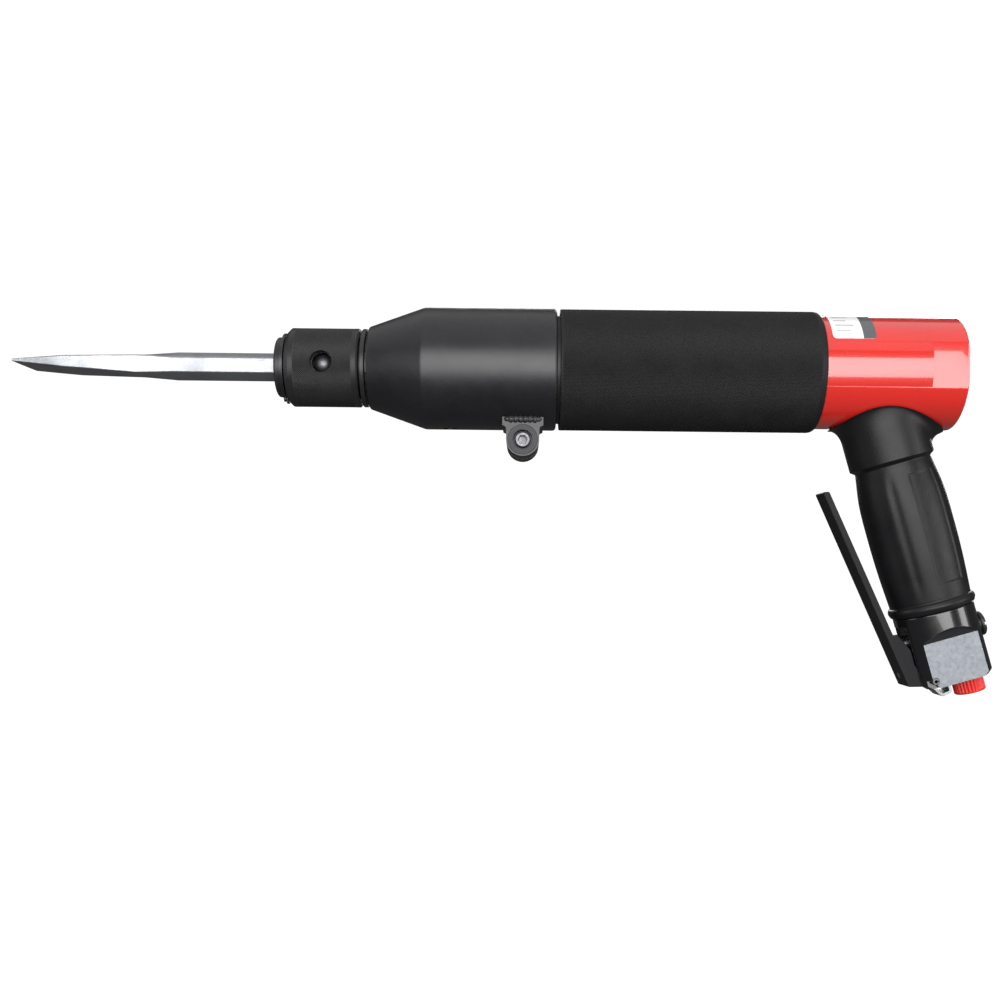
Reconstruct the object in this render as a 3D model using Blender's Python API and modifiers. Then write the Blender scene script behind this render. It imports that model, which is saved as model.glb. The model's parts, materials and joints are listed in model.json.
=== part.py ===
"""Pneumatic air hammer with a pistol handle, in metres with +Z up.

The hammer's axis is X and the chisel points to -X. The origin is the centre of the housing's flat
rear face. Everything of the handle is placed in a leaning frame whose origin is where the handle's
axis crosses the hammer's axis: there x points to the rear across the handle, z points up along it,
and heights below the crossing are written as drops, so z is minus the drop.
"""

import math

import bmesh
import bpy
from mathutils import Matrix, Vector

# Fits and mesh fineness
GAP = 0.0003  # between two neighbouring pieces, and all round a piece in its seat
OVERRUN = 0.004  # how far a cutter passes the material that it cuts
ROUND = 40  # sides of the outer round pieces
INNER_ROUND = 24  # sides of the round pieces inside them
SMALL_ROUND = 16  # sides of the small ones
RING_SECTION = 8  # sides of a seal ring's section
COIL_STEPS = 12  # points in each turn of a spring

# Housing: the fixed rear body
HOUSING_RADIUS = 0.0320
HOUSING_WALL = 0.0035
HOUSING_LENGTH = 0.2240
HOUSING_EDGE = 0.0008
REAR_WALL = 0.0070
FLAT_DEPTH = 0.0025
FLATS_LENGTH = 0.0205

# Rubber sleeve on the housing, and the label behind it
SLEEVE_WALL = 0.00195
SLEEVE_REAR = 0.0784  # from the rear face to the sleeve
SLEEVE_LIP = 0.0005  # the sleeve passes the housing's front end by this
SLEEVE_FILLET = 0.0030
LABEL_LENGTH = 0.0240
LABEL_SETBACK = 0.0510  # from the rear face to the label
LABEL_ARC_WIDTH = 0.0404
LABEL_TURN = math.radians(25)  # the label's middle, from the top towards -Y
LABEL_CORNER = 0.0020
LABEL_THICKNESS = 0.0003
LABEL_GAP = 0.0001

# Isolation: the front unit slides back into the housing
ISOLATOR_TRAVEL = 0.0015
REAR_SPRING_WIRE = 0.0025
REAR_SPRING_INSET = 0.0073  # from the housing's bore to the spring's wire
REAR_SPRING_TURNS = 5
BUSH_LENGTH = 0.0190
BUFFER_THICKNESS = 0.0044
RING_WIRE = 0.0010  # radius of the seal rings' section
HEAD_RING_WIRE = 0.0012

# Front tube with its clamp
TUBE_OVERHANG = 0.0025  # the tube is larger than the housing by this all round
TUBE_WALL = 0.0035
TUBE_STRAIGHT = 0.0747
TUBE_EDGE = 0.0015
CONE_LENGTH = 0.0317
CONE_END_RADIUS = 0.0234
CONE_END_WALL = 0.0028
CLAMP_SETBACK = 0.0188  # from the tube's rear end to the clamp screw
CLAMP_OFFSET = 0.0074  # from the tube's outside to the clamp screw
CLAMP_RADIUS = 0.0093
CLAMP_LENGTH = 0.0360
CLAMP_SLIT = 0.0025
CLAMP_SLIT_LENGTH = 0.0360
CLAMP_COLLAR_LENGTH = 0.0357
SCREW_RADIUS = 0.0025
SCREW_HEAD_RADIUS = 0.00425
SCREW_HEAD_HEIGHT = 0.0050
SCREW_SOCKET = 0.0023
COUNTERBORE_RADIUS = 0.0054
COUNTERBORE_DEPTH = 0.0062
EXHAUST_SETBACK = 0.0604  # from the tube's rear end to the exhaust hole
EXHAUST_RADIUS = 0.0045
EXHAUST_PORT_RADIUS = 0.0030

# Cylinder, piston and valve
CYLINDER_WALL = 0.00745
CYLINDER_NOSE_LENGTH = 0.0337
CYLINDER_STEP = 0.0010  # the cylinder's nose passes the tube's cone by this
STOP_COLLAR_SPACE = 0.0023  # round the stop collar, in the housing's bore
STOP_COLLAR_LENGTH = 0.0050
PISTON_RADIUS = 0.01425
PISTON_LENGTH = 0.0750
PISTON_STROKE = 0.1000
PISTON_GROOVE = 0.0008
END_SPACE = 0.0005  # between the piston and what it meets at either end
CHEST_LENGTH = 0.0300
CHEST_FLOOR = 0.0060
SPOOL_RADIUS = 0.0117
SPOOL_LENGTH = 0.0200
SPOOL_BORE = 0.0040
AIR_HOLE = 0.0050
HEAD_LENGTH = 0.0200
HEAD_SCREW_COUNT = 3
HEAD_SCREW_RADIUS = 0.0020
HEAD_SCREW_CAP_RADIUS = 0.0035
HEAD_SCREW_CAP_HEIGHT = 0.0040
HEAD_SCREW_DEPTH = 0.0100

# Chisel holder and its retainer
HEX_ACROSS = 0.01473
HOLDER_WALL = 0.00994  # outside the middle of each of the hexagon's sides
SPIGOT_STEP = 0.0018  # the spigot is smaller than the holder by this all round
SPIGOT_LENGTH = 0.0160
FLANGE_HEIGHT = 0.0049
FLANGE_THICKNESS = 0.0026
COLLAR_FLOAT = 0.0011  # free space at the rear of the retaining sleeve
COLLAR_LENGTH = 0.0413
COLLAR_WALL = 0.0047
COLLAR_CHAMFER = 0.0023
COLLAR_REAR_CHAMFER = 0.0008
COLLAR_WINDOW = 0.0061
CIRCLIP_SPACE = 0.0010
CIRCLIP_THICKNESS = 0.0015
CIRCLIP_HEIGHT = 0.0019  # above the holder's outside
CIRCLIP_DEPTH = 0.0015  # of the groove that holds it
CIRCLIP_OPENING = 0.0070
NOSE_LENGTH = 0.0037
NOSE_CHAMFER = 0.0012
BALL_RADIUS = 0.0055
BALL_SETBACK = 0.0276  # from the nose face to the retaining ball

# Chisel
CHISEL_LENGTH = 0.2180
CHISEL_EXPOSED = 0.1466
CHISEL_TRAVEL = 0.0120
CHISEL_NOTCH = 0.0022  # depth of the ball's notch in the shank
BLADE_START = 0.0885  # distances from the cutting edge
BLADE_NECK = 0.0670
BLADE_BEVEL = 0.0280
BLADE_WIDTH = 0.0320
BLADE_NECK_WIDTH = 0.0172
BLADE_NECK_THICKNESS = 0.0102  # at the sides
BLADE_RIDGE = 0.0450  # where the shank's corners run out
BLADE_RIDGE_THICKNESS = 0.0083
BLADE_BEVEL_THICKNESS = 0.0068
EDGE_THICKNESS = 0.0014

# Handle frame
HANDLE_SETBACK = 0.0475  # from the rear face to the crossing of the two axes
HANDLE_RAKE = math.radians(16.1)

# Handle core
CORE_RADIUS = 0.0170
NECK_RADIUS = 0.0120  # where the core enters the housing
BODY_TOP = 0.1407
BODY_BOTTOM = 0.1824
BODY_RADIUS = 0.0226
BODY_CHAMFER = 0.0020
BODY_FLAT = 0.0162  # from the handle's axis to each milled flat
BODY_FLAT_TOP = 0.1568
PASSAGE_OFFSET = 0.0060
PASSAGE_RADIUS = 0.0045

# Rubber handle grip: how thick it is round the core, at drops below the crossing
GRIP_PROFILE = (
    (0.1404, 0.0064),
    (0.1392, 0.0072),
    (0.1374, 0.0074),
    (0.1358, 0.0068),
    (0.1350, 0.0056),
    (0.1140, 0.0068),
    (0.0950, 0.0072),
    (0.0730, 0.0068),
)
GRIP_NECK_DROP = 0.0208  # below the housing's radius
GRIP_NECK_PROFILE = (
    (0.0032, 0.0045),
    (0.0007, 0.0042),
    (0.0000, 0.0066),
)
SADDLE_FRONT = 0.0303
SADDLE_REAR = 0.0322
SADDLE_SIDE = 0.0250
SADDLE_LIP = 0.0012
SADDLE_FLARE = 0.0075
SADDLE_NECK = 0.0068  # the rubber's thickness where the flare starts

# Throttle valve
VALVE_DROP = 0.1555
VALVE_BORE = 0.0062
VALVE_FLOOR = 0.0020  # the seat's shoulder, in front of the handle's axis
SEAT_THICKNESS = 0.0027
SEAT_HOLE = 0.0036
POPPET_RADIUS = 0.0050
POPPET_HEAD = 0.0027
POPPET_STEM_RADIUS = 0.0022
POPPET_LENGTH = 0.0067
THROTTLE_TRAVEL = 0.0036
PLUNGER_RADIUS = 0.0028
PLUNGER_PIN_RADIUS = 0.0016
PLUNGER_PIN_LENGTH = 0.0100
PLUNGER_CHAMBER_RADIUS = 0.0039
PLUNGER_CHAMBER_FRONT = 0.0110
VALVE_SPRING_RADIUS = 0.0038
VALVE_SPRING_WIRE = 0.0005
VALVE_SPRING_TURNS = 4
CAP_HEAD_RADIUS = 0.0072
CAP_HEAD_HEIGHT = 0.0026
CAP_STEM_LENGTH = 0.0069
CAP_RING_WIRE = 0.0008
CAP_SLOT = 0.0016

# Inlet port
PORT_OFFSET = 0.0085
PORT_RADIUS = 0.0079
PORT_DEPTH = 0.0124
INLET_RADIUS = 0.0052
STRAINER_LENGTH = 0.0070
STRAINER_WALL = 0.0009
DUST_CAP_RADIUS = 0.0088
DUST_CAP_HEIGHT = 0.0091
DUST_CAP_PLUG = 0.0100
DUST_CAP_CHAMFER = 0.0010

# Throttle lever: a channel that opens towards the grip, with ears on the pin, and its stop strip
PIVOT_DROP = 0.1783
PIVOT_FRONT = 0.0144  # in front of the handle's axis
PIN_RADIUS = 0.0019
PIN_BORE = 0.0009
PIN_END = 0.0003  # the pin passes the body's flats by this
LEVER_TOP = 0.0588
LEVER_TOP_FRONT = 0.0453
LEVER_HEEL = 0.1782
LEVER_HEEL_FRONT = 0.0278
LEVER_WIDTH = 0.0175
LEVER_SHEET = 0.0021
LEVER_FLANGE = 0.0040
LEVER_CORNER = 0.0006
CHEEK_TOP = 0.1480
CHEEK_STEP_FRONT = 0.0259
CHEEK_SLOPE = 0.0108
CHEEK_FRONT = 0.0209
EAR_RADIUS = 0.0036
SLOT_CLEARANCE = 0.0010
SLOT_FLOOR = 0.0165
SLOT_TOP = 0.1455
EAR_CLEARANCE = 0.0009  # round the ears, in the slot's deep end
EAR_APPROACH = 0.0040  # the slope that clears the cheeks as they swing in
CORNER_CUT_INSIDE = 0.0132  # from the middle plane to where the body's lower corners are cut off
CORNER_CUT_WIDTH = 0.0036
CORNER_CUT_HEIGHT = 0.0050
STRIP_SHEET = 0.0015
STRIP_TOP = 0.1680
STRIP_KNEE = 0.1766
STRIP_UNDER_PIN = 0.0040  # from the pin's axis down to the middle of the strip
STRIP_TIP_DROP = 0.1886
STRIP_TIP_FRONT = 0.0097
STRIP_LIP_FRONT = 0.0043
STRIP_LIP_RISE = 0.0009
RIVET_RADIUS = 0.0016
RIVET_HEAD_RADIUS = 0.0027
RIVET_HEAD_HEIGHT = 0.0010
RIVET_DROP = 0.1722

# Radii that follow from the sizes above
HOUSING_BORE = HOUSING_RADIUS - HOUSING_WALL
SLEEVE_RADIUS = HOUSING_RADIUS + GAP + SLEEVE_WALL
STOP_COLLAR_RADIUS = HOUSING_BORE - STOP_COLLAR_SPACE
REAR_SPRING_RADIUS = HOUSING_BORE - REAR_SPRING_INSET
TUBE_RADIUS = HOUSING_RADIUS + TUBE_OVERHANG
CLAMP_DROP = TUBE_RADIUS + CLAMP_OFFSET
CYLINDER_BORE = PISTON_RADIUS + GAP
CYLINDER_RADIUS = CYLINDER_BORE + CYLINDER_WALL
CYLINDER_NOSE_RADIUS = CONE_END_RADIUS - CONE_END_WALL - GAP
HEAD_SCREW_CIRCLE = CYLINDER_BORE + CYLINDER_WALL / 2
HOLDER_RADIUS = HEX_ACROSS / 2 + HOLDER_WALL
SPIGOT_RADIUS = HOLDER_RADIUS - SPIGOT_STEP
FLANGE_RADIUS = HOLDER_RADIUS + FLANGE_HEIGHT
NOSE_RADIUS = HOLDER_RADIUS - GAP
COLLAR_RADIUS = HOLDER_RADIUS + GAP + COLLAR_WALL
CIRCLIP_RADIUS = HOLDER_RADIUS + CIRCLIP_HEIGHT

# Places along the hammer's axis
HOUSING_FRONT = -HOUSING_LENGTH
SLEEVE_FRONT = HOUSING_FRONT - SLEEVE_LIP
TUBE_REAR = SLEEVE_FRONT - ISOLATOR_TRAVEL - GAP
CONE_START = TUBE_REAR - TUBE_STRAIGHT
TUBE_FRONT = CONE_START - CONE_LENGTH
TUBE_BORE = TUBE_RADIUS - TUBE_WALL
CYLINDER_FRONT = TUBE_FRONT - CYLINDER_STEP
FLANGE_REAR = CYLINDER_FRONT - GAP
FLANGE_FRONT = FLANGE_REAR - FLANGE_THICKNESS
SPIGOT_END = FLANGE_REAR + SPIGOT_LENGTH
SOCKET_END = SPIGOT_END + GAP
COLLAR_REAR = FLANGE_FRONT - COLLAR_FLOAT
COLLAR_FRONT = COLLAR_REAR - COLLAR_LENGTH
CIRCLIP_REAR = COLLAR_FRONT - CIRCLIP_SPACE
CIRCLIP_FRONT = CIRCLIP_REAR - CIRCLIP_THICKNESS
NOSE_REAR = CIRCLIP_FRONT - GAP
NOSE_FRONT = NOSE_REAR - NOSE_LENGTH
BALL_X = NOSE_FRONT + BALL_SETBACK
CHISEL_TIP = NOSE_FRONT - CHISEL_EXPOSED
SHANK_END = CHISEL_TIP + CHISEL_LENGTH
PISTON_FRONT = SHANK_END + END_SPACE
PISTON_REAR = PISTON_FRONT + PISTON_LENGTH
CYLINDER_REAR = PISTON_REAR + PISTON_STROKE + END_SPACE
CHEST_FRONT = CYLINDER_REAR + GAP
CHEST_REAR = CHEST_FRONT + CHEST_LENGTH
CHEST_BORE = SPOOL_RADIUS + GAP
HEAD_FRONT = CHEST_REAR + GAP
HEAD_REAR = HEAD_FRONT + HEAD_LENGTH
HEAD_RADIUS = HOUSING_BORE - GAP
BUSH_FRONT = HOUSING_FRONT
BUSH_REAR = BUSH_FRONT + BUSH_LENGTH
STOP_COLLAR_FRONT = BUSH_REAR + BUFFER_THICKNESS + 2 * GAP
CLAMP_X = TUBE_REAR - CLAMP_SETBACK
BALL_OUT = HEX_ACROSS / 2 - CHISEL_NOTCH + GAP + BALL_RADIUS

# Places in the handle frame
PIVOT_X = -PIVOT_FRONT
LEVER_LEAN = math.atan2(LEVER_TOP_FRONT - LEVER_HEEL_FRONT, LEVER_HEEL - LEVER_TOP)
GRIP_NECK = HOUSING_RADIUS + GRIP_NECK_DROP
SEAT_REAR = -VALVE_FLOOR + GAP + SEAT_THICKNESS
POPPET_FRONT = SEAT_REAR + GAP
CAP_HEAD_FRONT = BODY_RADIUS + GAP
CAP_STEM_FRONT = CAP_HEAD_FRONT - CAP_STEM_LENGTH

TURN_TO = {
    "X": Matrix.Rotation(math.pi / 2, 4, "Y"),
    "Y": Matrix.Rotation(-math.pi / 2, 4, "X"),
    "-Y": Matrix.Rotation(math.pi / 2, 4, "X"),
    "Z": Matrix.Identity(4),
    "lever": Matrix.Rotation(math.pi / 2 - LEVER_LEAN, 4, "Y"),
}

FINISHES = {
    "red_paint": ((0.72, 0.035, 0.02), 0.18, 0.0),
    "black_steel": ((0.02, 0.02, 0.022), 0.35, 0.6),
    "black_oxide": ((0.015, 0.015, 0.016), 0.45, 0.7),
    "gloss_black": ((0.012, 0.012, 0.013), 0.15, 0.1),
    "black_rubber": ((0.018, 0.018, 0.018), 0.65, 0.0),
    "seal_rubber": ((0.01, 0.01, 0.01), 0.5, 0.0),
    "bright_steel": ((0.72, 0.72, 0.74), 0.18, 1.0),
    "ground_steel": ((0.55, 0.55, 0.57), 0.28, 1.0),
    "zinc": ((0.62, 0.63, 0.66), 0.3, 1.0),
    "bronze": ((0.55, 0.34, 0.13), 0.3, 1.0),
    "brass": ((0.70, 0.50, 0.18), 0.25, 1.0),
    "red_plastic": ((0.65, 0.02, 0.015), 0.35, 0.0),
    "label_film": ((0.85, 0.85, 0.85), 0.4, 0.0),
}


def clear_scene():
    for obj in list(bpy.data.objects):
        bpy.data.objects.remove(obj, do_unlink=True)


def new_collection(name):
    collection = bpy.data.collections.new(name)
    bpy.context.scene.collection.children.link(collection)
    return collection


def new_material(name, colour, roughness, metallic):
    material = bpy.data.materials.new(name)
    material.use_nodes = True
    shader = material.node_tree.nodes["Principled BSDF"]
    shader.inputs["Base Color"].default_value = (*colour, 1.0)
    shader.inputs["Roughness"].default_value = roughness
    shader.inputs["Metallic"].default_value = metallic
    material.diffuse_color = (*colour, 1.0)
    return material


clear_scene()
PARTS = new_collection("air_hammer")
CUTTERS = new_collection("air_hammer_cutters")
CUTTERS.hide_render = True
MATERIALS = {name: new_material(name, *look) for name, look in FINISHES.items()}


def new_empty(name, location=(0, 0, 0), parent=None):
    empty = bpy.data.objects.new(name, None)
    empty.empty_display_size = 0.02
    empty.location = location
    empty.parent = parent
    PARTS.objects.link(empty)
    return empty


HANDLE = new_empty("handle_frame", (-HANDLE_SETBACK, 0, 0))
HANDLE.rotation_euler = (0, -HANDLE_RAKE, 0)
PIVOT = new_empty("lever_pivot", (PIVOT_X, 0, -PIVOT_DROP), HANDLE)


def place(name, mesh, finish=None, parent=None, matrix=None):
    """Adds a mesh as a part with the named finish, or as a cutter where finish is None."""
    obj = bpy.data.objects.new(name, mesh)
    obj.parent = parent
    if matrix is not None:
        obj.matrix_basis = matrix
    if finish:
        mesh.materials.append(MATERIALS[finish])
        PARTS.objects.link(obj)
    else:
        obj.hide_render = True
        obj.display_type = "WIRE"
        CUTTERS.objects.link(obj)
    return obj


def hang_on(obj, pivot):
    """Parents obj to a pivot that stands in obj's own frame, and leaves obj where it is."""
    obj.parent = pivot
    obj.matrix_parent_inverse = Matrix.Translation(-pivot.location)


def lengthwise(axis, at):
    """The matrix that lays a turned shape's z along axis, with its zero at the point."""
    return Matrix.Translation(at) @ TURN_TO[axis]


def turned(name, profile, finish=None, axis="X", at=(0, 0, 0), parent=None, sides=ROUND):
    """Turns (radius, height) points about the axis. They run down the outer side first."""
    on_axis = profile[0][0] == 0
    mesh = bpy.data.meshes.new(name)
    points = [(radius, 0, height) for radius, height in profile]
    edges = [(i, i + 1) for i in range(len(points) - 1)]
    if not on_axis:
        edges.append((len(points) - 1, 0))
    mesh.from_pydata(points, edges, [])
    obj = place(name, mesh, finish, parent, lengthwise(axis, at))
    screw = obj.modifiers.new("turn", "SCREW")
    screw.steps = sides
    screw.render_steps = sides
    screw.use_smooth_shade = True
    screw.use_merge_vertices = on_axis
    screw.merge_threshold = 0.00001
    if finish:
        smooth_by_angle(obj)
    return obj


def smooth_by_angle(obj):
    """Shades the piece smooth, with hard edges kept, whatever modifiers shape it."""
    for polygon in obj.data.polygons:
        polygon.use_smooth = True
    obj.data.set_sharp_from_angle(angle=math.radians(30))


def rod(name, radius, low, high, finish=None, axis="X", at=(0, 0, 0), parent=None, sides=ROUND):
    """A solid cylinder between two heights on the axis."""
    profile = ((0, high), (radius, high), (radius, low), (0, low))
    return turned(name, profile, finish, axis, at, parent, sides)


def tube(name, outer, inner, low, high, finish, axis="X", at=(0, 0, 0), parent=None, sides=ROUND):
    """A plain ring or tube between two heights on the axis."""
    profile = ((outer, high), (outer, low), (inner, low), (inner, high))
    return turned(name, profile, finish, axis, at, parent, sides)


def seal_ring(name, radius, wire, finish, axis, at, parent=None):
    """A ring of round section about the axis."""
    angles = [-2 * math.pi * i / RING_SECTION for i in range(RING_SECTION)]
    profile = [(radius + wire * math.cos(a), wire * math.sin(a)) for a in angles]
    return turned(name, profile, finish, axis, at, parent, INNER_ROUND)


def box(name, low, high, finish=None, parent=None):
    """A box between two corners."""
    mesh = bpy.data.meshes.new(name)
    shape = bmesh.new()
    bmesh.ops.create_cube(shape, size=1)
    size = [b - a for a, b in zip(low, high)]
    middle = [(a + b) / 2 for a, b in zip(low, high)]
    bmesh.ops.scale(shape, vec=size, verts=shape.verts)
    bmesh.ops.translate(shape, vec=middle, verts=shape.verts)
    shape.to_mesh(mesh)
    shape.free()
    return place(name, mesh, finish, parent)


def prism(name, sides, across_flats, low, high, finish=None, axis="X", at=(0, 0, 0), parent=None):
    """A regular prism between two heights, such as a hexagon bar, with corners at x on the axis."""
    mesh = bpy.data.meshes.new(name)
    shape = bmesh.new()
    corner = across_flats / 2 / math.cos(math.pi / sides)
    bmesh.ops.create_cone(
        shape, cap_ends=True, segments=sides, radius1=corner, radius2=corner, depth=high - low
    )
    quarter_turn = Matrix.Rotation(math.pi / 2, 4, "Z")
    shift = Matrix.Translation((0, 0, (low + high) / 2))
    bmesh.ops.transform(shape, matrix=shift @ quarter_turn, verts=shape.verts)
    shape.to_mesh(mesh)
    shape.free()
    return place(name, mesh, finish, parent, lengthwise(axis, at))


def plate(name, outline, low, high, finish=None, parent=None):
    """A flat outline of (x, z) points that fills the space from y = low to y = high."""
    curve = bpy.data.curves.new(name, "CURVE")
    curve.dimensions = "2D"
    curve.fill_mode = "BOTH"
    curve.extrude = (high - low) / 2
    spline = curve.splines.new("POLY")
    spline.points.add(len(outline) - 1)
    for point, (x, z) in zip(spline.points, outline):
        point.co = (x, z, 0, 1)
    spline.use_cyclic_u = True
    drawn = bpy.data.objects.new(name, curve)
    bpy.context.scene.collection.objects.link(drawn)
    graph = bpy.context.evaluated_depsgraph_get()
    mesh = bpy.data.meshes.new_from_object(drawn.evaluated_get(graph))
    bpy.data.objects.remove(drawn, do_unlink=True)
    shape = bmesh.new()
    shape.from_mesh(mesh)
    bmesh.ops.remove_doubles(shape, verts=shape.verts, dist=0.000001)
    bmesh.ops.recalc_face_normals(shape, faces=shape.faces)
    upright = Matrix.Translation((0, (low + high) / 2, 0)) @ Matrix.Rotation(math.pi / 2, 4, "X")
    bmesh.ops.transform(shape, matrix=upright, verts=shape.verts)
    shape.to_mesh(mesh)
    shape.free()
    return place(name, mesh, finish, parent)


def coil(name, radius, wire, low, high, turns, finish, axis="X", at=(0, 0, 0), parent=None):
    """A round-wire spring whose ends lie between two heights on the axis."""
    steps = COIL_STEPS * turns
    curve = bpy.data.curves.new(name, "CURVE")
    curve.dimensions = "3D"
    curve.bevel_depth = wire
    curve.bevel_resolution = 2
    curve.use_fill_caps = True
    spline = curve.splines.new("POLY")
    spline.points.add(steps)
    start = low + wire
    rise = high - low - 2 * wire
    for i, point in enumerate(spline.points):
        angle = 2 * math.pi * turns * i / steps
        height = start + rise * i / steps
        point.co = (radius * math.cos(angle), radius * math.sin(angle), height, 1)
    curve.materials.append(MATERIALS[finish])
    obj = bpy.data.objects.new(name, curve)
    obj.parent = parent
    obj.matrix_basis = lengthwise(axis, at)
    PARTS.objects.link(obj)
    return obj


def loft(name, rings, finish, parent=None):
    """A closed solid through rings of points, all with the same count, with flat end caps."""
    mesh = bpy.data.meshes.new(name)
    shape = bmesh.new()
    rows = [[shape.verts.new(point) for point in ring] for ring in rings]
    count = len(rows[0])
    for row, following in zip(rows, rows[1:]):
        for i in range(count):
            j = (i + 1) % count
            shape.faces.new((row[i], row[j], following[j], following[i]))
    shape.faces.new(rows[0])
    shape.faces.new(rows[-1])
    bmesh.ops.recalc_face_normals(shape, faces=shape.faces)
    shape.to_mesh(mesh)
    shape.free()
    obj = place(name, mesh, finish, parent)
    smooth_by_angle(obj)
    return obj


def boolean(obj, other, operation="DIFFERENCE", solver="EXACT"):
    modifier = obj.modifiers.new(other.name, "BOOLEAN")
    modifier.operation = operation
    modifier.solver = solver
    modifier.object = other


def arc(centre, radius, start, end, steps):
    """Points on an arc in the (x, z) plane, with both ends."""
    angles = [start + (end - start) * i / steps for i in range(steps + 1)]
    return [(centre[0] + radius * math.cos(a), centre[1] + radius * math.sin(a)) for a in angles]


def rounded_rectangle(centre, width, height, corner, steps=4):
    """Outline points of a rectangle with round corners, in the (x, z) plane."""
    points = []
    for quarter, (side, up) in enumerate(((1, 1), (-1, 1), (-1, -1), (1, -1))):
        middle = (
            centre[0] + side * (width / 2 - corner),
            centre[1] + up * (height / 2 - corner),
        )
        start = quarter * math.pi / 2
        points += arc(middle, corner, start, start + math.pi / 2, steps)
    return points


def make_housing():
    """The tube with a rear wall, milled flats and the hole that the handle's neck enters."""
    profile = (
        (0, 0),
        (HOUSING_RADIUS - HOUSING_EDGE, 0),
        (HOUSING_RADIUS, -HOUSING_EDGE),
        (HOUSING_RADIUS, HOUSING_FRONT),
        (HOUSING_BORE, HOUSING_FRONT),
        (HOUSING_BORE, -REAR_WALL),
        (0, -REAR_WALL),
    )
    housing = turned("housing", profile, "red_paint")
    reach = HOUSING_RADIUS + OVERRUN
    for side, name in ((-1, "flat_cut_left"), (1, "flat_cut_right")):
        near = side * (HOUSING_RADIUS - FLAT_DEPTH)
        far = side * reach
        low = (-FLATS_LENGTH, min(near, far), -reach)
        high = (OVERRUN, max(near, far), reach)
        boolean(housing, box(name, low, high))
    neck_hole = rod(
        "neck_hole", NECK_RADIUS + GAP, -HOUSING_RADIUS - 3 * OVERRUN, -HOUSING_BORE / 2,
        axis="Z", parent=HANDLE, sides=SMALL_ROUND,
    )
    boolean(housing, neck_hole)


def make_grip_sleeve():
    """The rubber sleeve that the leading hand holds, with a rounded rear end."""
    inner = HOUSING_RADIUS + GAP
    middle = (SLEEVE_RADIUS - SLEEVE_FILLET * 0.6, -SLEEVE_REAR - SLEEVE_FILLET)
    fillet = [
        (middle[0] + SLEEVE_FILLET * 0.6 * math.cos(a), middle[1] + SLEEVE_FILLET * math.sin(a))
        for a in (math.pi / 2, math.pi / 3, math.pi / 6, 0)
    ]
    profile = [(inner, -SLEEVE_REAR)] + fillet
    profile += [(SLEEVE_RADIUS, SLEEVE_FRONT), (inner, SLEEVE_FRONT)]
    turned("grip_sleeve", profile, "black_rubber")


def make_label():
    """A thin film with round corners, wrapped on the housing behind the sleeve."""
    inner = HOUSING_RADIUS + LABEL_GAP
    middle = -LABEL_SETBACK - LABEL_LENGTH / 2
    label = tube(
        "label", inner + LABEL_THICKNESS, inner, middle - LABEL_LENGTH, middle + LABEL_LENGTH,
        "label_film",
    )
    outline = rounded_rectangle((middle, 0), LABEL_LENGTH, LABEL_ARC_WIDTH, LABEL_CORNER)
    window = plate("label_outline", outline, HOUSING_RADIUS / 2, HOUSING_RADIUS + OVERRUN)
    window.rotation_euler = (math.pi / 2 + LABEL_TURN, 0, 0)
    boolean(label, window, "INTERSECT")


def make_isolation():
    """The bush, buffer, seal and rear spring that carry the sliding front unit."""
    bush_bore = CYLINDER_RADIUS + GAP
    bush = tube(
        "guide_bush", HOUSING_BORE - GAP, bush_bore, BUSH_FRONT, BUSH_REAR, "bronze",
        sides=INNER_ROUND,
    )
    ring_x = (BUSH_FRONT + BUSH_REAR) / 2
    groove_half = RING_WIRE + GAP
    groove = tube(
        "bush_groove", bush_bore + 2 * RING_WIRE + GAP, bush_bore - OVERRUN,
        ring_x - groove_half, ring_x + groove_half, None, sides=INNER_ROUND,
    )
    boolean(bush, groove)
    seal_ring("guide_o_ring", bush_bore + RING_WIRE, RING_WIRE, "seal_rubber", "X", (ring_x, 0, 0))
    tube(
        "front_buffer", STOP_COLLAR_RADIUS, CYLINDER_RADIUS + 2 * GAP,
        BUSH_REAR + GAP, BUSH_REAR + GAP + BUFFER_THICKNESS, "seal_rubber", sides=INNER_ROUND,
    )
    coil(
        "rear_spring", REAR_SPRING_RADIUS, REAR_SPRING_WIRE,
        HEAD_REAR + ISOLATOR_TRAVEL + GAP, -REAR_WALL - GAP, REAR_SPRING_TURNS, "ground_steel",
    )


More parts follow.
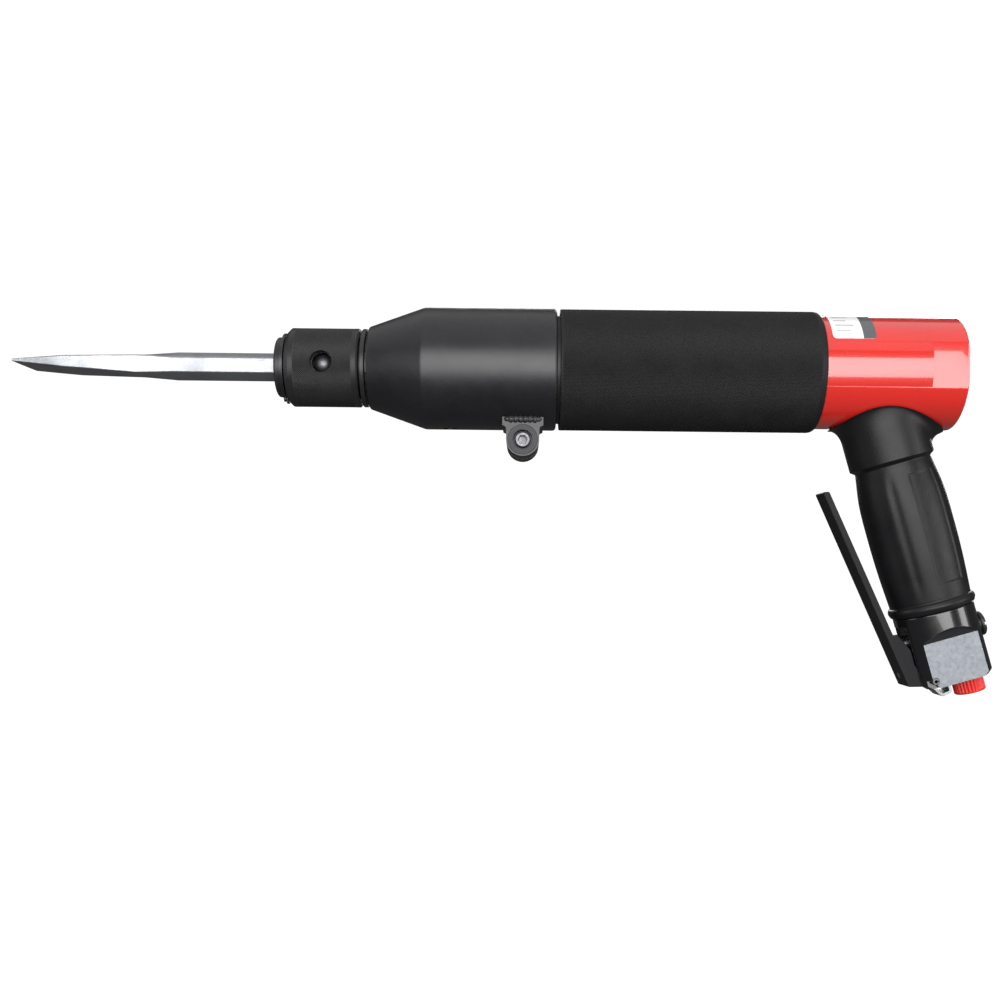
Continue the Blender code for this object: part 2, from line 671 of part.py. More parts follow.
def make_front_tube():
    """The tube with its cone, exhaust hole and split clamp."""
    profile = (
        (TUBE_RADIUS - TUBE_EDGE, TUBE_REAR),
        (TUBE_RADIUS, TUBE_REAR - TUBE_EDGE),
        (TUBE_RADIUS, CONE_START),
        (CONE_END_RADIUS, TUBE_FRONT),
        (CONE_END_RADIUS - CONE_END_WALL, TUBE_FRONT),
        (TUBE_BORE, CONE_START),
        (TUBE_BORE, TUBE_REAR),
    )
    front_tube = turned("front_tube", profile, "black_steel")
    half = CLAMP_LENGTH / 2
    ear_top = -TUBE_BORE / 2
    outline = arc((CLAMP_X, -CLAMP_DROP), CLAMP_RADIUS, math.pi, 2 * math.pi, INNER_ROUND // 2)
    outline += [(CLAMP_X + CLAMP_RADIUS, ear_top), (CLAMP_X - CLAMP_RADIUS, ear_top)]
    ear = plate("clamp_ear", outline, -half, half)
    middle_of_wall = TUBE_BORE + TUBE_WALL / 2
    boolean(ear, rod("ear_trim", middle_of_wall, CONE_START, TUBE_REAR))
    boolean(front_tube, ear, "UNION")
    slit = box(
        "clamp_slit",
        (TUBE_REAR - CLAMP_SLIT_LENGTH, -CLAMP_SLIT / 2, -CLAMP_DROP - CLAMP_RADIUS - OVERRUN),
        (TUBE_REAR + OVERRUN, CLAMP_SLIT / 2, -TUBE_BORE + OVERRUN),
    )
    boolean(front_tube, slit)
    hole = rod(
        "clamp_hole", SCREW_RADIUS + GAP, -half - OVERRUN, half + OVERRUN, axis="Y",
        at=(CLAMP_X, 0, -CLAMP_DROP), sides=SMALL_ROUND,
    )
    boolean(front_tube, hole)
    counterbore = rod(
        "clamp_counterbore", COUNTERBORE_RADIUS, half - COUNTERBORE_DEPTH, half + OVERRUN,
        axis="-Y", at=(CLAMP_X, 0, -CLAMP_DROP), sides=SMALL_ROUND,
    )
    boolean(front_tube, counterbore)
    exhaust = rod(
        "exhaust_hole", EXHAUST_RADIUS, -TUBE_RADIUS - OVERRUN, -TUBE_BORE + OVERRUN, axis="Z",
        at=(TUBE_REAR - EXHAUST_SETBACK, 0, 0), sides=SMALL_ROUND,
    )
    boolean(front_tube, exhaust)
    head_top = half - COUNTERBORE_DEPTH + GAP + SCREW_HEAD_HEIGHT
    socket_screw(
        "clamp_screw", SCREW_RADIUS, SCREW_HEAD_RADIUS, SCREW_HEAD_HEIGHT, head_top,
        -half + GAP, "-Y", (CLAMP_X, 0, -CLAMP_DROP),
    )


def socket_screw(name, radius, head_radius, head_height, top, end, axis, at):
    """A cap screw with a hexagon socket, whose head's top and shank's end are heights on the axis."""
    under_head = top - head_height
    edge = head_height * 0.12
    profile = (
        (0, top),
        (head_radius - edge, top),
        (head_radius, top - edge),
        (head_radius, under_head),
        (radius, under_head),
        (radius, end),
        (0, end),
    )
    screw = turned(name, profile, "ground_steel", axis, at, sides=SMALL_ROUND)
    across = 2 * SCREW_SOCKET * head_radius / SCREW_HEAD_RADIUS
    socket = prism(
        name + "_socket", 6, across, top - head_height * 0.6, top + OVERRUN, axis=axis, at=at
    )
    boolean(screw, socket)


def make_cylinder():
    """The hammer's cylinder, with the front tube's seat, its stop collar and the holder's socket."""
    seat_rear = TUBE_REAR - GAP
    seat_front = seat_rear - CLAMP_COLLAR_LENGTH
    seat_radius = TUBE_BORE - GAP
    nose_rear = CYLINDER_FRONT + CYLINDER_NOSE_LENGTH
    profile = (
        (CYLINDER_RADIUS, CYLINDER_REAR),
        (CYLINDER_RADIUS, STOP_COLLAR_FRONT + STOP_COLLAR_LENGTH),
        (STOP_COLLAR_RADIUS, STOP_COLLAR_FRONT + STOP_COLLAR_LENGTH),
        (STOP_COLLAR_RADIUS, STOP_COLLAR_FRONT),
        (CYLINDER_RADIUS, STOP_COLLAR_FRONT),
        (CYLINDER_RADIUS, seat_rear),
        (seat_radius, seat_rear),
        (seat_radius, seat_front),
        (CYLINDER_RADIUS, seat_front),
        (CYLINDER_RADIUS, nose_rear),
        (CYLINDER_NOSE_RADIUS, nose_rear),
        (CYLINDER_NOSE_RADIUS, CYLINDER_FRONT),
        (SPIGOT_RADIUS + GAP, CYLINDER_FRONT),
        (SPIGOT_RADIUS + GAP, SOCKET_END),
        (CYLINDER_BORE, SOCKET_END),
        (CYLINDER_BORE, CYLINDER_REAR),
    )
    cylinder = turned("cylinder", profile, "black_oxide", sides=INNER_ROUND)
    port = rod(
        "cylinder_port", EXHAUST_PORT_RADIUS, -CYLINDER_RADIUS - OVERRUN, -CYLINDER_BORE / 2,
        axis="Z", at=(TUBE_REAR - EXHAUST_SETBACK, 0, 0), sides=SMALL_ROUND,
    )
    boolean(cylinder, port)
    return cylinder


def make_piston():
    """The free piston, with two oil grooves and chamfered ends."""
    chamfer = 2 * PISTON_GROOVE
    profile = [
        (0, PISTON_REAR),
        (PISTON_RADIUS - chamfer, PISTON_REAR),
        (PISTON_RADIUS, PISTON_REAR - chamfer),
    ]
    for middle in (PISTON_REAR - PISTON_LENGTH / 4, PISTON_FRONT + PISTON_LENGTH / 4):
        profile += [
            (PISTON_RADIUS, middle + PISTON_GROOVE),
            (PISTON_RADIUS - PISTON_GROOVE, middle + PISTON_GROOVE),
            (PISTON_RADIUS - PISTON_GROOVE, middle - PISTON_GROOVE),
            (PISTON_RADIUS, middle - PISTON_GROOVE),
        ]
    profile += [
        (PISTON_RADIUS, PISTON_FRONT + chamfer),
        (PISTON_RADIUS - chamfer, PISTON_FRONT),
        (0, PISTON_FRONT),
    ]
    turned("piston", profile, "ground_steel", sides=INNER_ROUND)


def make_valve(cylinder):
    """The valve chest, its spool, and the head that three screws draw onto the cylinder."""
    profile = (
        (CYLINDER_RADIUS, CHEST_REAR),
        (CYLINDER_RADIUS, CHEST_FRONT),
        (AIR_HOLE, CHEST_FRONT),
        (AIR_HOLE, CHEST_FRONT + CHEST_FLOOR),
        (CHEST_BORE, CHEST_FRONT + CHEST_FLOOR),
        (CHEST_BORE, CHEST_REAR),
    )
    chest = turned("valve_chest", profile, "ground_steel", sides=INNER_ROUND)
    spool_front = CHEST_FRONT + CHEST_FLOOR + GAP
    waist = SPOOL_RADIUS * 0.8
    land = SPOOL_LENGTH / 4
    profile = (
        (SPOOL_RADIUS, spool_front + SPOOL_LENGTH),
        (SPOOL_RADIUS, spool_front + SPOOL_LENGTH - land),
        (waist, spool_front + SPOOL_LENGTH - land),
        (waist, spool_front + land),
        (SPOOL_RADIUS, spool_front + land),
        (SPOOL_RADIUS, spool_front),
        (SPOOL_BORE, spool_front),
        (SPOOL_BORE, spool_front + SPOOL_LENGTH),
    )
    turned("valve_spool", profile, "bright_steel", sides=INNER_ROUND)
    ring_x = (HEAD_FRONT + HEAD_REAR) / 2
    groove_half = HEAD_RING_WIRE + GAP
    groove_floor = HEAD_RADIUS - 2 * HEAD_RING_WIRE - GAP
    profile = (
        (HEAD_RADIUS, HEAD_REAR),
        (HEAD_RADIUS, ring_x + groove_half),
        (groove_floor, ring_x + groove_half),
        (groove_floor, ring_x - groove_half),
        (HEAD_RADIUS, ring_x - groove_half),
        (HEAD_RADIUS, HEAD_FRONT),
        (AIR_HOLE, HEAD_FRONT),
        (AIR_HOLE, HEAD_REAR),
    )
    head = turned("cylinder_head", profile, "ground_steel", sides=INNER_ROUND)
    seal_ring(
        "head_o_ring", HEAD_RADIUS - HEAD_RING_WIRE, HEAD_RING_WIRE, "seal_rubber", "X",
        (ring_x, 0, 0),
    )
    cap_top = HEAD_REAR - GAP
    under_cap = cap_top - HEAD_SCREW_CAP_HEIGHT
    tip = CYLINDER_REAR - HEAD_SCREW_DEPTH
    for i in range(HEAD_SCREW_COUNT):
        angle = math.pi / 2 + 2 * math.pi * i / HEAD_SCREW_COUNT
        at = (0, HEAD_SCREW_CIRCLE * math.cos(angle), HEAD_SCREW_CIRCLE * math.sin(angle))
        name = f"head_screw_{i + 1}"
        seat = under_cap - GAP
        profile = (
            (0, HEAD_REAR + OVERRUN),
            (HEAD_SCREW_CAP_RADIUS + GAP, HEAD_REAR + OVERRUN),
            (HEAD_SCREW_CAP_RADIUS + GAP, seat),
            (HEAD_SCREW_RADIUS + GAP, seat),
            (HEAD_SCREW_RADIUS + GAP, tip - GAP),
            (0, tip - GAP),
        )
        stepped_hole = turned(name + "_hole", profile, at=at, sides=SMALL_ROUND)
        for drilled in (cylinder, chest, head):
            boolean(drilled, stepped_hole)
        socket_screw(
            name, HEAD_SCREW_RADIUS, HEAD_SCREW_CAP_RADIUS, HEAD_SCREW_CAP_HEIGHT, cap_top, tip,
            "X", at,
        )


def make_holder():
    """The chisel holder, with its flange, hexagon hole, circlip groove and ball hole."""
    groove_radius = HOLDER_RADIUS - CIRCLIP_DEPTH
    profile = (
        (0, SPIGOT_END),
        (SPIGOT_RADIUS, SPIGOT_END),
        (SPIGOT_RADIUS, FLANGE_REAR),
        (FLANGE_RADIUS, FLANGE_REAR),
        (FLANGE_RADIUS, FLANGE_FRONT),
        (HOLDER_RADIUS, FLANGE_FRONT),
        (HOLDER_RADIUS, CIRCLIP_REAR + GAP),
        (groove_radius, CIRCLIP_REAR + GAP),
        (groove_radius, NOSE_REAR),
        (NOSE_RADIUS, NOSE_REAR),
        (NOSE_RADIUS, NOSE_FRONT + NOSE_CHAMFER),
        (NOSE_RADIUS - NOSE_CHAMFER, NOSE_FRONT),
        (0, NOSE_FRONT),
    )
    holder = turned("chisel_holder", profile, "black_oxide")
    hexagon = prism(
        "shank_hole", 6, HEX_ACROSS + 2 * GAP, NOSE_FRONT - OVERRUN, SPIGOT_END + OVERRUN
    )
    boolean(holder, hexagon)
    ball_hole = rod(
        "ball_hole", BALL_RADIUS + GAP, HEX_ACROSS / 4, HOLDER_RADIUS + OVERRUN, axis="-Y",
        at=(BALL_X, 0, 0), sides=SMALL_ROUND,
    )
    boolean(holder, ball_hole)


def make_retainer():
    """The turning sleeve with its window, the circlip that keeps it, and the retaining ball."""
    inner = HOLDER_RADIUS + GAP
    profile = (
        (COLLAR_RADIUS - COLLAR_REAR_CHAMFER, COLLAR_REAR),
        (COLLAR_RADIUS, COLLAR_REAR - COLLAR_REAR_CHAMFER),
        (COLLAR_RADIUS, COLLAR_FRONT + COLLAR_CHAMFER),
        (COLLAR_RADIUS - COLLAR_CHAMFER, COLLAR_FRONT),
        (inner, COLLAR_FRONT),
        (inner, COLLAR_REAR),
    )
    collar = turned("retaining_sleeve", profile, "black_oxide")
    window = rod(
        "sleeve_window", COLLAR_WINDOW, HOLDER_RADIUS / 2, COLLAR_RADIUS + OVERRUN, axis="-Y",
        at=(BALL_X, 0, 0), sides=SMALL_ROUND,
    )
    boolean(collar, window)
    circlip = tube(
        "circlip", CIRCLIP_RADIUS, HOLDER_RADIUS - CIRCLIP_DEPTH + GAP, CIRCLIP_FRONT,
        CIRCLIP_REAR, "black_steel",
    )
    opening = box(
        "circlip_opening",
        (CIRCLIP_FRONT - OVERRUN, -CIRCLIP_OPENING / 2, -CIRCLIP_RADIUS - OVERRUN),
        (CIRCLIP_REAR + OVERRUN, CIRCLIP_OPENING / 2, 0),
    )
    boolean(circlip, opening)
    mesh = bpy.data.meshes.new("retaining_ball")
    shape = bmesh.new()
    bmesh.ops.create_uvsphere(shape, u_segments=SMALL_ROUND, v_segments=10, radius=BALL_RADIUS)
    shape.to_mesh(mesh)
    shape.free()
    mesh.shade_smooth()
    place(
        "retaining_ball", mesh, "bright_steel", matrix=Matrix.Translation((BALL_X, -BALL_OUT, 0))
    )


def chisel_section(x, width, thickness, shoulder):
    """Six points: middle of the top, then clockwise. shoulder is the side corners' half height."""
    return [
        (x, 0, thickness / 2),
        (x, width / 2, shoulder),
        (x, width / 2, -shoulder),
        (x, 0, -thickness / 2),
        (x, -width / 2, -shoulder),
        (x, -width / 2, shoulder),
    ]


def ridge_thickness(along, sides):
    """The blade's thickness down its middle, which is the sides' own once the ridge runs out."""
    share = (BLADE_START - along) / (BLADE_START - BLADE_RIDGE)
    corners = 2 * HEX_ACROSS / math.sqrt(3)
    return max(corners + (BLADE_RIDGE_THICKNESS - corners) * share, sides)


def make_chisel():
    """A hexagon shank forged to a wide blade, with a notch for the ball."""
    corner = HEX_ACROSS / math.sqrt(3)
    shank = (HEX_ACROSS, 2 * corner, corner / 2)
    neck = (BLADE_NECK_WIDTH, BLADE_NECK_THICKNESS, BLADE_NECK_THICKNESS / 2)
    rings = [
        chisel_section(SHANK_END, *shank),
        chisel_section(CHISEL_TIP + BLADE_START, *shank),
    ]
    steps = 4
    for i in range(1, steps + 1):
        share = i / steps
        ease = share * share * (3 - 2 * share)
        along = BLADE_START + (BLADE_NECK - BLADE_START) * share
        width, thickness, shoulder = (a + (b - a) * ease for a, b in zip(shank, neck))
        thickness = ridge_thickness(along, thickness)
        rings.append(chisel_section(CHISEL_TIP + along, width, thickness, shoulder))
    for i in range(1, steps + 1):
        share = i / steps
        x = CHISEL_TIP + BLADE_NECK * (1 - share)
        width = BLADE_NECK_WIDTH + (BLADE_WIDTH - BLADE_NECK_WIDTH) * math.sin(share * math.pi / 2)
        body = BLADE_NECK - BLADE_BEVEL
        thinned = min(BLADE_NECK * share / body, 1)
        thickness = BLADE_NECK_THICKNESS + (BLADE_BEVEL_THICKNESS - BLADE_NECK_THICKNESS) * thinned
        if x < CHISEL_TIP + BLADE_BEVEL:
            near = (x - CHISEL_TIP) / BLADE_BEVEL
            thickness = EDGE_THICKNESS + (BLADE_BEVEL_THICKNESS - EDGE_THICKNESS) * near
        ridge = ridge_thickness(BLADE_NECK * (1 - share), thickness)
        rings.append(chisel_section(x, width, ridge, thickness / 2))
    chisel = loft("chisel", rings, "bright_steel")
    reach = math.sqrt(BALL_RADIUS**2 - (BALL_OUT - HEX_ACROSS / 2) ** 2) + GAP
    notch = box(
        "ball_notch",
        (BALL_X - reach, -HEX_ACROSS, -corner),
        (BALL_X + reach + CHISEL_TRAVEL, CHISEL_NOTCH - HEX_ACROSS / 2, corner),
    )
    boolean(chisel, notch)


def make_handle_core():
    """The handle's metal core and throttle body, with its air passages and milled faces."""
    profile = (
        (0, -HOUSING_BORE / 2),
        (CORE_RADIUS, -HOUSING_BORE / 2),
        (CORE_RADIUS, -BODY_TOP),
        (BODY_RADIUS - BODY_CHAMFER / 4, -BODY_TOP),
        (BODY_RADIUS, -BODY_TOP - BODY_CHAMFER / 4),
        (BODY_RADIUS, -BODY_BOTTOM + BODY_CHAMFER),
        (BODY_RADIUS - BODY_CHAMFER, -BODY_BOTTOM),
        (0, -BODY_BOTTOM),
    )
    core = turned("handle_core", profile, "gloss_black", axis="Z", parent=HANDLE)
    reach = CORE_RADIUS + BODY_RADIUS
    ends = (-HANDLE_SETBACK - 2 * reach, -HANDLE_SETBACK + 2 * reach)
    boolean(core, rod("housing_clearance", HOUSING_RADIUS + GAP, *ends))
    neck = rod(
        "core_neck", NECK_RADIUS, -BODY_TOP / 2, -HOUSING_BORE / 2, axis="Z", parent=HANDLE,
        sides=SMALL_ROUND,
    )
    boolean(core, neck, "UNION")
    boolean(core, rod("bore_clearance", HOUSING_BORE, *ends))
    for cutter in flat_cutters():
        boolean(core, cutter)
    for cutter in passage_cutters():
        # The passages meet at many thin angles, which the exact solver leaves open.
        boolean(core, cutter, solver="MANIFOLD")


def flat_cutters():
    """The milled side flats with sloping shoulders, the lever's slot and the cut lower corners."""
    cutters = []
    far = BODY_RADIUS + OVERRUN
    depth = far - BODY_FLAT
    bottom = -BODY_BOTTOM - OVERRUN
    outline = (
        (BODY_FLAT, bottom),
        (far, bottom),
        (far, -BODY_FLAT_TOP + depth),
        (BODY_FLAT, -BODY_FLAT_TOP),
    )
    for quarters, name in ((1, "body_flat_cut_right"), (-1, "body_flat_cut_left")):
        cutter = plate(name, outline, -far, far, parent=HANDLE)
        cutter.rotation_euler = (0, 0, quarters * math.pi / 2)
        cutters.append(cutter)
    half = LEVER_WIDTH / 2 + SLOT_CLEARANCE
    ear_space = EAR_RADIUS + EAR_CLEARANCE
    outline = (
        (-far, bottom),
        (PIVOT_X + ear_space, bottom),
        (PIVOT_X + ear_space, -PIVOT_DROP + ear_space),
        (-SLOT_FLOOR, -PIVOT_DROP + ear_space + EAR_APPROACH),
        (-SLOT_FLOOR, -SLOT_TOP),
        (-far, -SLOT_TOP),
    )
    cutters.append(plate("lever_slot", outline, -half, half, parent=HANDLE))
    corner = (
        (PIVOT_X + CORNER_CUT_WIDTH / 2, bottom),
        (PIVOT_X + CORNER_CUT_WIDTH / 2, -BODY_BOTTOM),
        (PIVOT_X - CORNER_CUT_WIDTH / 2, -BODY_BOTTOM + CORNER_CUT_HEIGHT),
        (-far, -BODY_BOTTOM + CORNER_CUT_HEIGHT),
        (-far, bottom),
    )
    cutters.append(plate("corner_cut_right", corner, CORNER_CUT_INSIDE, far, parent=HANDLE))
    cutters.append(plate("corner_cut_left", corner, -far, -CORNER_CUT_INSIDE, parent=HANDLE))
    return cutters


def passage_cutters():
    """The bores of the throttle valve, the inlet port, the air passage and the lever's pin."""
    valve = {"axis": "X", "at": (0, 0, -VALVE_DROP), "parent": HANDLE, "sides": SMALL_ROUND}
    port = {"axis": "Z", "at": (PORT_OFFSET, 0, 0), "parent": HANDLE, "sides": SMALL_ROUND}
    passage = {"axis": "Z", "at": (-PASSAGE_OFFSET, 0, 0), "parent": HANDLE, "sides": SMALL_ROUND}
    pin = {"axis": "Y", "at": (PIVOT_X, 0, -PIVOT_DROP), "parent": HANDLE, "sides": SMALL_ROUND}
    behind = BODY_RADIUS + OVERRUN
    below = BODY_BOTTOM + OVERRUN
    chamber_front = -PLUNGER_CHAMBER_FRONT
    return [
        rod("valve_bore", VALVE_BORE, -VALVE_FLOOR, behind, **valve),
        rod("plunger_chamber", PLUNGER_CHAMBER_RADIUS, chamber_front, OVERRUN, **valve),
        rod("plunger_bore", PLUNGER_RADIUS + GAP, -behind, chamber_front + OVERRUN, **valve),
        rod("inlet_port", PORT_RADIUS, -below, -BODY_BOTTOM + PORT_DEPTH, **port),
        rod("inlet_bore", INLET_RADIUS, -below, -VALVE_DROP - VALVE_BORE / 3, **port),
        rod("air_passage", PASSAGE_RADIUS, -VALVE_DROP - PASSAGE_RADIUS / 5, 0, **passage),
        rod("pin_bore", PIN_RADIUS + GAP, -behind, behind, **pin),
    ]


def saddle_radius(angle):
    """The flare's reach from the handle's axis. The angle is 0 at the rear and pi at the front."""
    rear_or_front = SADDLE_REAR if math.cos(angle) > 0 else SADDLE_FRONT
    return 1 / math.hypot(math.cos(angle) / rear_or_front, math.sin(angle) / SADDLE_SIDE)


def saddle_drop(angle, reach, radius):
    """The drop at which a line beside the handle's axis leaves a cylinder round the hammer's axis."""
    across = reach * math.sin(angle)
    height = math.sqrt(radius**2 - across**2)
    lean = math.sin(HANDLE_RAKE) * reach * math.cos(angle)
    return (height + lean) / math.cos(HANDLE_RAKE)


def make_handle_grip():
    """The rubber grip: a waisted body with a bead, and a flare that hugs the housing."""
    angles = [2 * math.pi * i / ROUND for i in range(ROUND)]
    profile = GRIP_PROFILE + tuple((GRIP_NECK + d, thick) for d, thick in GRIP_NECK_PROFILE)
    rings = []
    for drop, thick in profile:
        radius = CORE_RADIUS + thick
        rings.append([(radius * math.cos(a), radius * math.sin(a), -drop) for a in angles])
    hug = HOUSING_RADIUS + GAP
    neck = CORE_RADIUS + SADDLE_NECK
    steps = 5
    for step in range(steps + 1):
        share = step / steps
        ring = []
        for a in angles:
            reach = saddle_radius(a)
            end = saddle_drop(a, reach, hug + SADDLE_LIP)
            radius = neck + (reach - neck) * (1 - math.sqrt(1 - share**2))
            drop = end + SADDLE_FLARE * (1 - share)
            ring.append((radius * math.cos(a), radius * math.sin(a), -drop))
        rings.append(ring)
    inside = hug - SADDLE_LIP
    rings.append(
        [
            (
                saddle_radius(a) * math.cos(a),
                saddle_radius(a) * math.sin(a),
                -saddle_drop(a, saddle_radius(a), inside),
            )
            for a in angles
        ]
    )
    rings.append(
        [(CORE_RADIUS / 2 * math.cos(a), CORE_RADIUS / 2 * math.sin(a), 0) for a in angles]
    )
    grip = loft("handle_grip", rings, "black_rubber", parent=HANDLE)
    reach = SADDLE_REAR + SADDLE_FRONT
    ends = (-HANDLE_SETBACK - reach, -HANDLE_SETBACK + reach)
    boolean(grip, rod("grip_housing_clearance", hug, *ends))
    core = rod(
        "grip_core_clearance", CORE_RADIUS + GAP, -BODY_BOTTOM, OVERRUN, axis="Z", parent=HANDLE
    )
    boolean(grip, core)


def make_throttle():
    """The valve in the handle: seat, poppet, spring, screwed cap with its seal, and the plunger."""
    valve = {"axis": "X", "at": (0, 0, -VALVE_DROP), "parent": HANDLE, "sides": SMALL_ROUND}
    inside = VALVE_BORE - GAP
    tube("valve_seat", inside, SEAT_HOLE, -VALVE_FLOOR + GAP, SEAT_REAR, "brass", **valve)
    poppet_rear = POPPET_FRONT + POPPET_LENGTH
    head_rear = POPPET_FRONT + POPPET_HEAD
    profile = (
        (0, poppet_rear),
        (POPPET_STEM_RADIUS, poppet_rear),
        (POPPET_STEM_RADIUS, head_rear),
        (POPPET_RADIUS, head_rear),
        (POPPET_RADIUS, POPPET_FRONT),
        (0, POPPET_FRONT),
    )
    turned("valve_poppet", profile, "brass", **valve)
    spring_front = head_rear + THROTTLE_TRAVEL + GAP
    coil(
        "valve_spring", VALVE_SPRING_RADIUS, VALVE_SPRING_WIRE, spring_front,
        CAP_STEM_FRONT - GAP, VALVE_SPRING_TURNS, "bright_steel", "X", (0, 0, -VALVE_DROP), HANDLE,
    )
    ring_x = CAP_HEAD_FRONT - OVERRUN / 2
    groove_half = CAP_RING_WIRE + GAP / 2
    groove_floor = inside - 2 * CAP_RING_WIRE - GAP / 2
    head_top = CAP_HEAD_FRONT + CAP_HEAD_HEIGHT
    profile = (
        (0, head_top),
        (CAP_HEAD_RADIUS - CAP_HEAD_HEIGHT / 4, head_top),
        (CAP_HEAD_RADIUS, head_top - CAP_HEAD_HEIGHT / 4),
        (CAP_HEAD_RADIUS, CAP_HEAD_FRONT),
        (inside, CAP_HEAD_FRONT),
        (inside, ring_x + groove_half),
        (groove_floor, ring_x + groove_half),
        (groove_floor, ring_x - groove_half),
        (inside, ring_x - groove_half),
        (inside, CAP_STEM_FRONT),
        (0, CAP_STEM_FRONT),
    )
    cap = turned("valve_cap", profile, "black_oxide", **valve)
    slot = box(
        "valve_cap_slot",
        (head_top - CAP_HEAD_HEIGHT / 2, -BODY_RADIUS, -VALVE_DROP - CAP_SLOT / 2),
        (head_top + OVERRUN, BODY_RADIUS, -VALVE_DROP + CAP_SLOT / 2),
        parent=HANDLE,
    )
    boolean(cap, slot)
    seal_ring(
        "valve_cap_o_ring", inside - CAP_RING_WIRE, CAP_RING_WIRE, "seal_rubber", "X",
        (ring_x, 0, -VALVE_DROP), HANDLE,
    )
    pin_end = POPPET_FRONT - GAP
    shoulder = pin_end - PLUNGER_PIN_LENGTH
    front = lever_line(VALVE_DROP) + LEVER_SHEET + GAP
    profile = (
        (0, pin_end),
        (PLUNGER_PIN_RADIUS, pin_end),
        (PLUNGER_PIN_RADIUS, shoulder),
        (PLUNGER_RADIUS, shoulder),
        (PLUNGER_RADIUS, front + PLUNGER_RADIUS / 2),
        (PLUNGER_RADIUS * 0.4, front),
        (0, front),
    )
    turned("throttle_plunger", profile, "bright_steel", **valve)


def lever_line(drop):
    """The x of the lever's outer face at a drop, in the handle frame."""
    share = (drop - LEVER_TOP) / (LEVER_HEEL - LEVER_TOP)
    return -LEVER_TOP_FRONT + (LEVER_TOP_FRONT - LEVER_HEEL_FRONT) * share


def make_inlet():
    """The strainer in the inlet bore and the plastic cap that closes the port."""
    port = {"axis": "Z", "at": (PORT_OFFSET, 0, 0), "parent": HANDLE, "sides": SMALL_ROUND}
    outer = INLET_RADIUS - GAP
    inner = outer - STRAINER_WALL
    low = -BODY_BOTTOM + PORT_DEPTH
    high = low + STRAINER_LENGTH
    profile = (
        (0, high),
        (outer, high),
        (outer, low),
        (inner, low),
        (inner, high - STRAINER_WALL),
        (0, high - STRAINER_WALL),
    )
    turned("inlet_strainer", profile, "brass", **port)
    top = -BODY_BOTTOM - GAP
    bottom = top - DUST_CAP_HEIGHT
    plug = PORT_RADIUS - GAP
    profile = (
        (0, top + DUST_CAP_PLUG),
        (plug, top + DUST_CAP_PLUG),
        (plug, top),
        (DUST_CAP_RADIUS, top),
        (DUST_CAP_RADIUS, bottom + DUST_CAP_CHAMFER),
        (DUST_CAP_RADIUS - DUST_CAP_CHAMFER, bottom),
        (0, bottom),
    )
    turned("dust_cap", profile, "red_plastic", **port)


def make_lever():
    """The channel-section lever, whose cheeks end in ears that turn on the pin."""
    half = LEVER_WIDTH / 2
    top = lever_line(LEVER_TOP)
    ear = (PIVOT_X, -PIVOT_DROP)
    outline = [
        (top + LEVER_FLANGE, -LEVER_TOP - LEVER_SHEET / 2),
        (top + LEVER_SHEET, -LEVER_TOP),
        (top + LEVER_CORNER, -LEVER_TOP),
        (top, -LEVER_TOP - LEVER_CORNER),
        (lever_line(LEVER_HEEL), -LEVER_HEEL),
        (lever_line(LEVER_HEEL) + LEVER_CORNER, -LEVER_HEEL - LEVER_CORNER),
    ]
    outline += arc(ear, EAR_RADIUS, math.radians(-105), math.radians(120), 12)
    outline += [
        (-CHEEK_FRONT, -PIVOT_DROP + 3 * EAR_RADIUS),
        (-CHEEK_FRONT, -CHEEK_TOP - CHEEK_SLOPE),
        (-CHEEK_STEP_FRONT, -CHEEK_TOP),
        (lever_line(CHEEK_TOP) + LEVER_FLANGE, -CHEEK_TOP),
    ]
    lever = plate("throttle_lever", outline, -half, half, "black_steel", HANDLE)
    inside = half - LEVER_SHEET
    pocket_top = LEVER_TOP + LEVER_SHEET
    pocket_bottom = PIVOT_DROP + 2 * EAR_RADIUS
    behind = PIVOT_X + 2 * EAR_RADIUS
    pocket = (
        (lever_line(pocket_top) + LEVER_SHEET, -pocket_top),
        (lever_line(pocket_bottom) + LEVER_SHEET, -pocket_bottom),
        (behind, -pocket_bottom),
        (behind, -pocket_top),
    )
    boolean(lever, plate("lever_pocket", pocket, -inside, inside, parent=HANDLE))
    pin_hole = rod(
        "lever_pin_hole", PIN_RADIUS + GAP, -half - OVERRUN, half + OVERRUN, axis="Y",
        at=(PIVOT_X, 0, -PIVOT_DROP), parent=HANDLE, sides=SMALL_ROUND,
    )
    boolean(lever, pin_hole)
    strip = make_stop_strip(inside - GAP)
    web = {
        "axis": "lever", "at": (lever_line(RIVET_DROP), 0, -RIVET_DROP), "parent": HANDLE,
        "sides": SMALL_ROUND,
    }
    hole = rod("rivet_hole", RIVET_RADIUS + GAP, -OVERRUN, 2 * OVERRUN, **web)
    boolean(lever, hole)
    boolean(strip, hole)
    seat = LEVER_SHEET + STRIP_SHEET + 2 * GAP
    profile = (
        (0, seat + RIVET_HEAD_HEIGHT),
        (RIVET_HEAD_RADIUS * 0.7, seat + RIVET_HEAD_HEIGHT),
        (RIVET_HEAD_RADIUS, seat),
        (RIVET_RADIUS, seat),
        (RIVET_RADIUS, 0),
        (0, 0),
    )
    rivet = turned("strip_rivet", profile, "zinc", **web)
    for piece in (lever, strip, rivet):
        hang_on(piece, PIVOT)


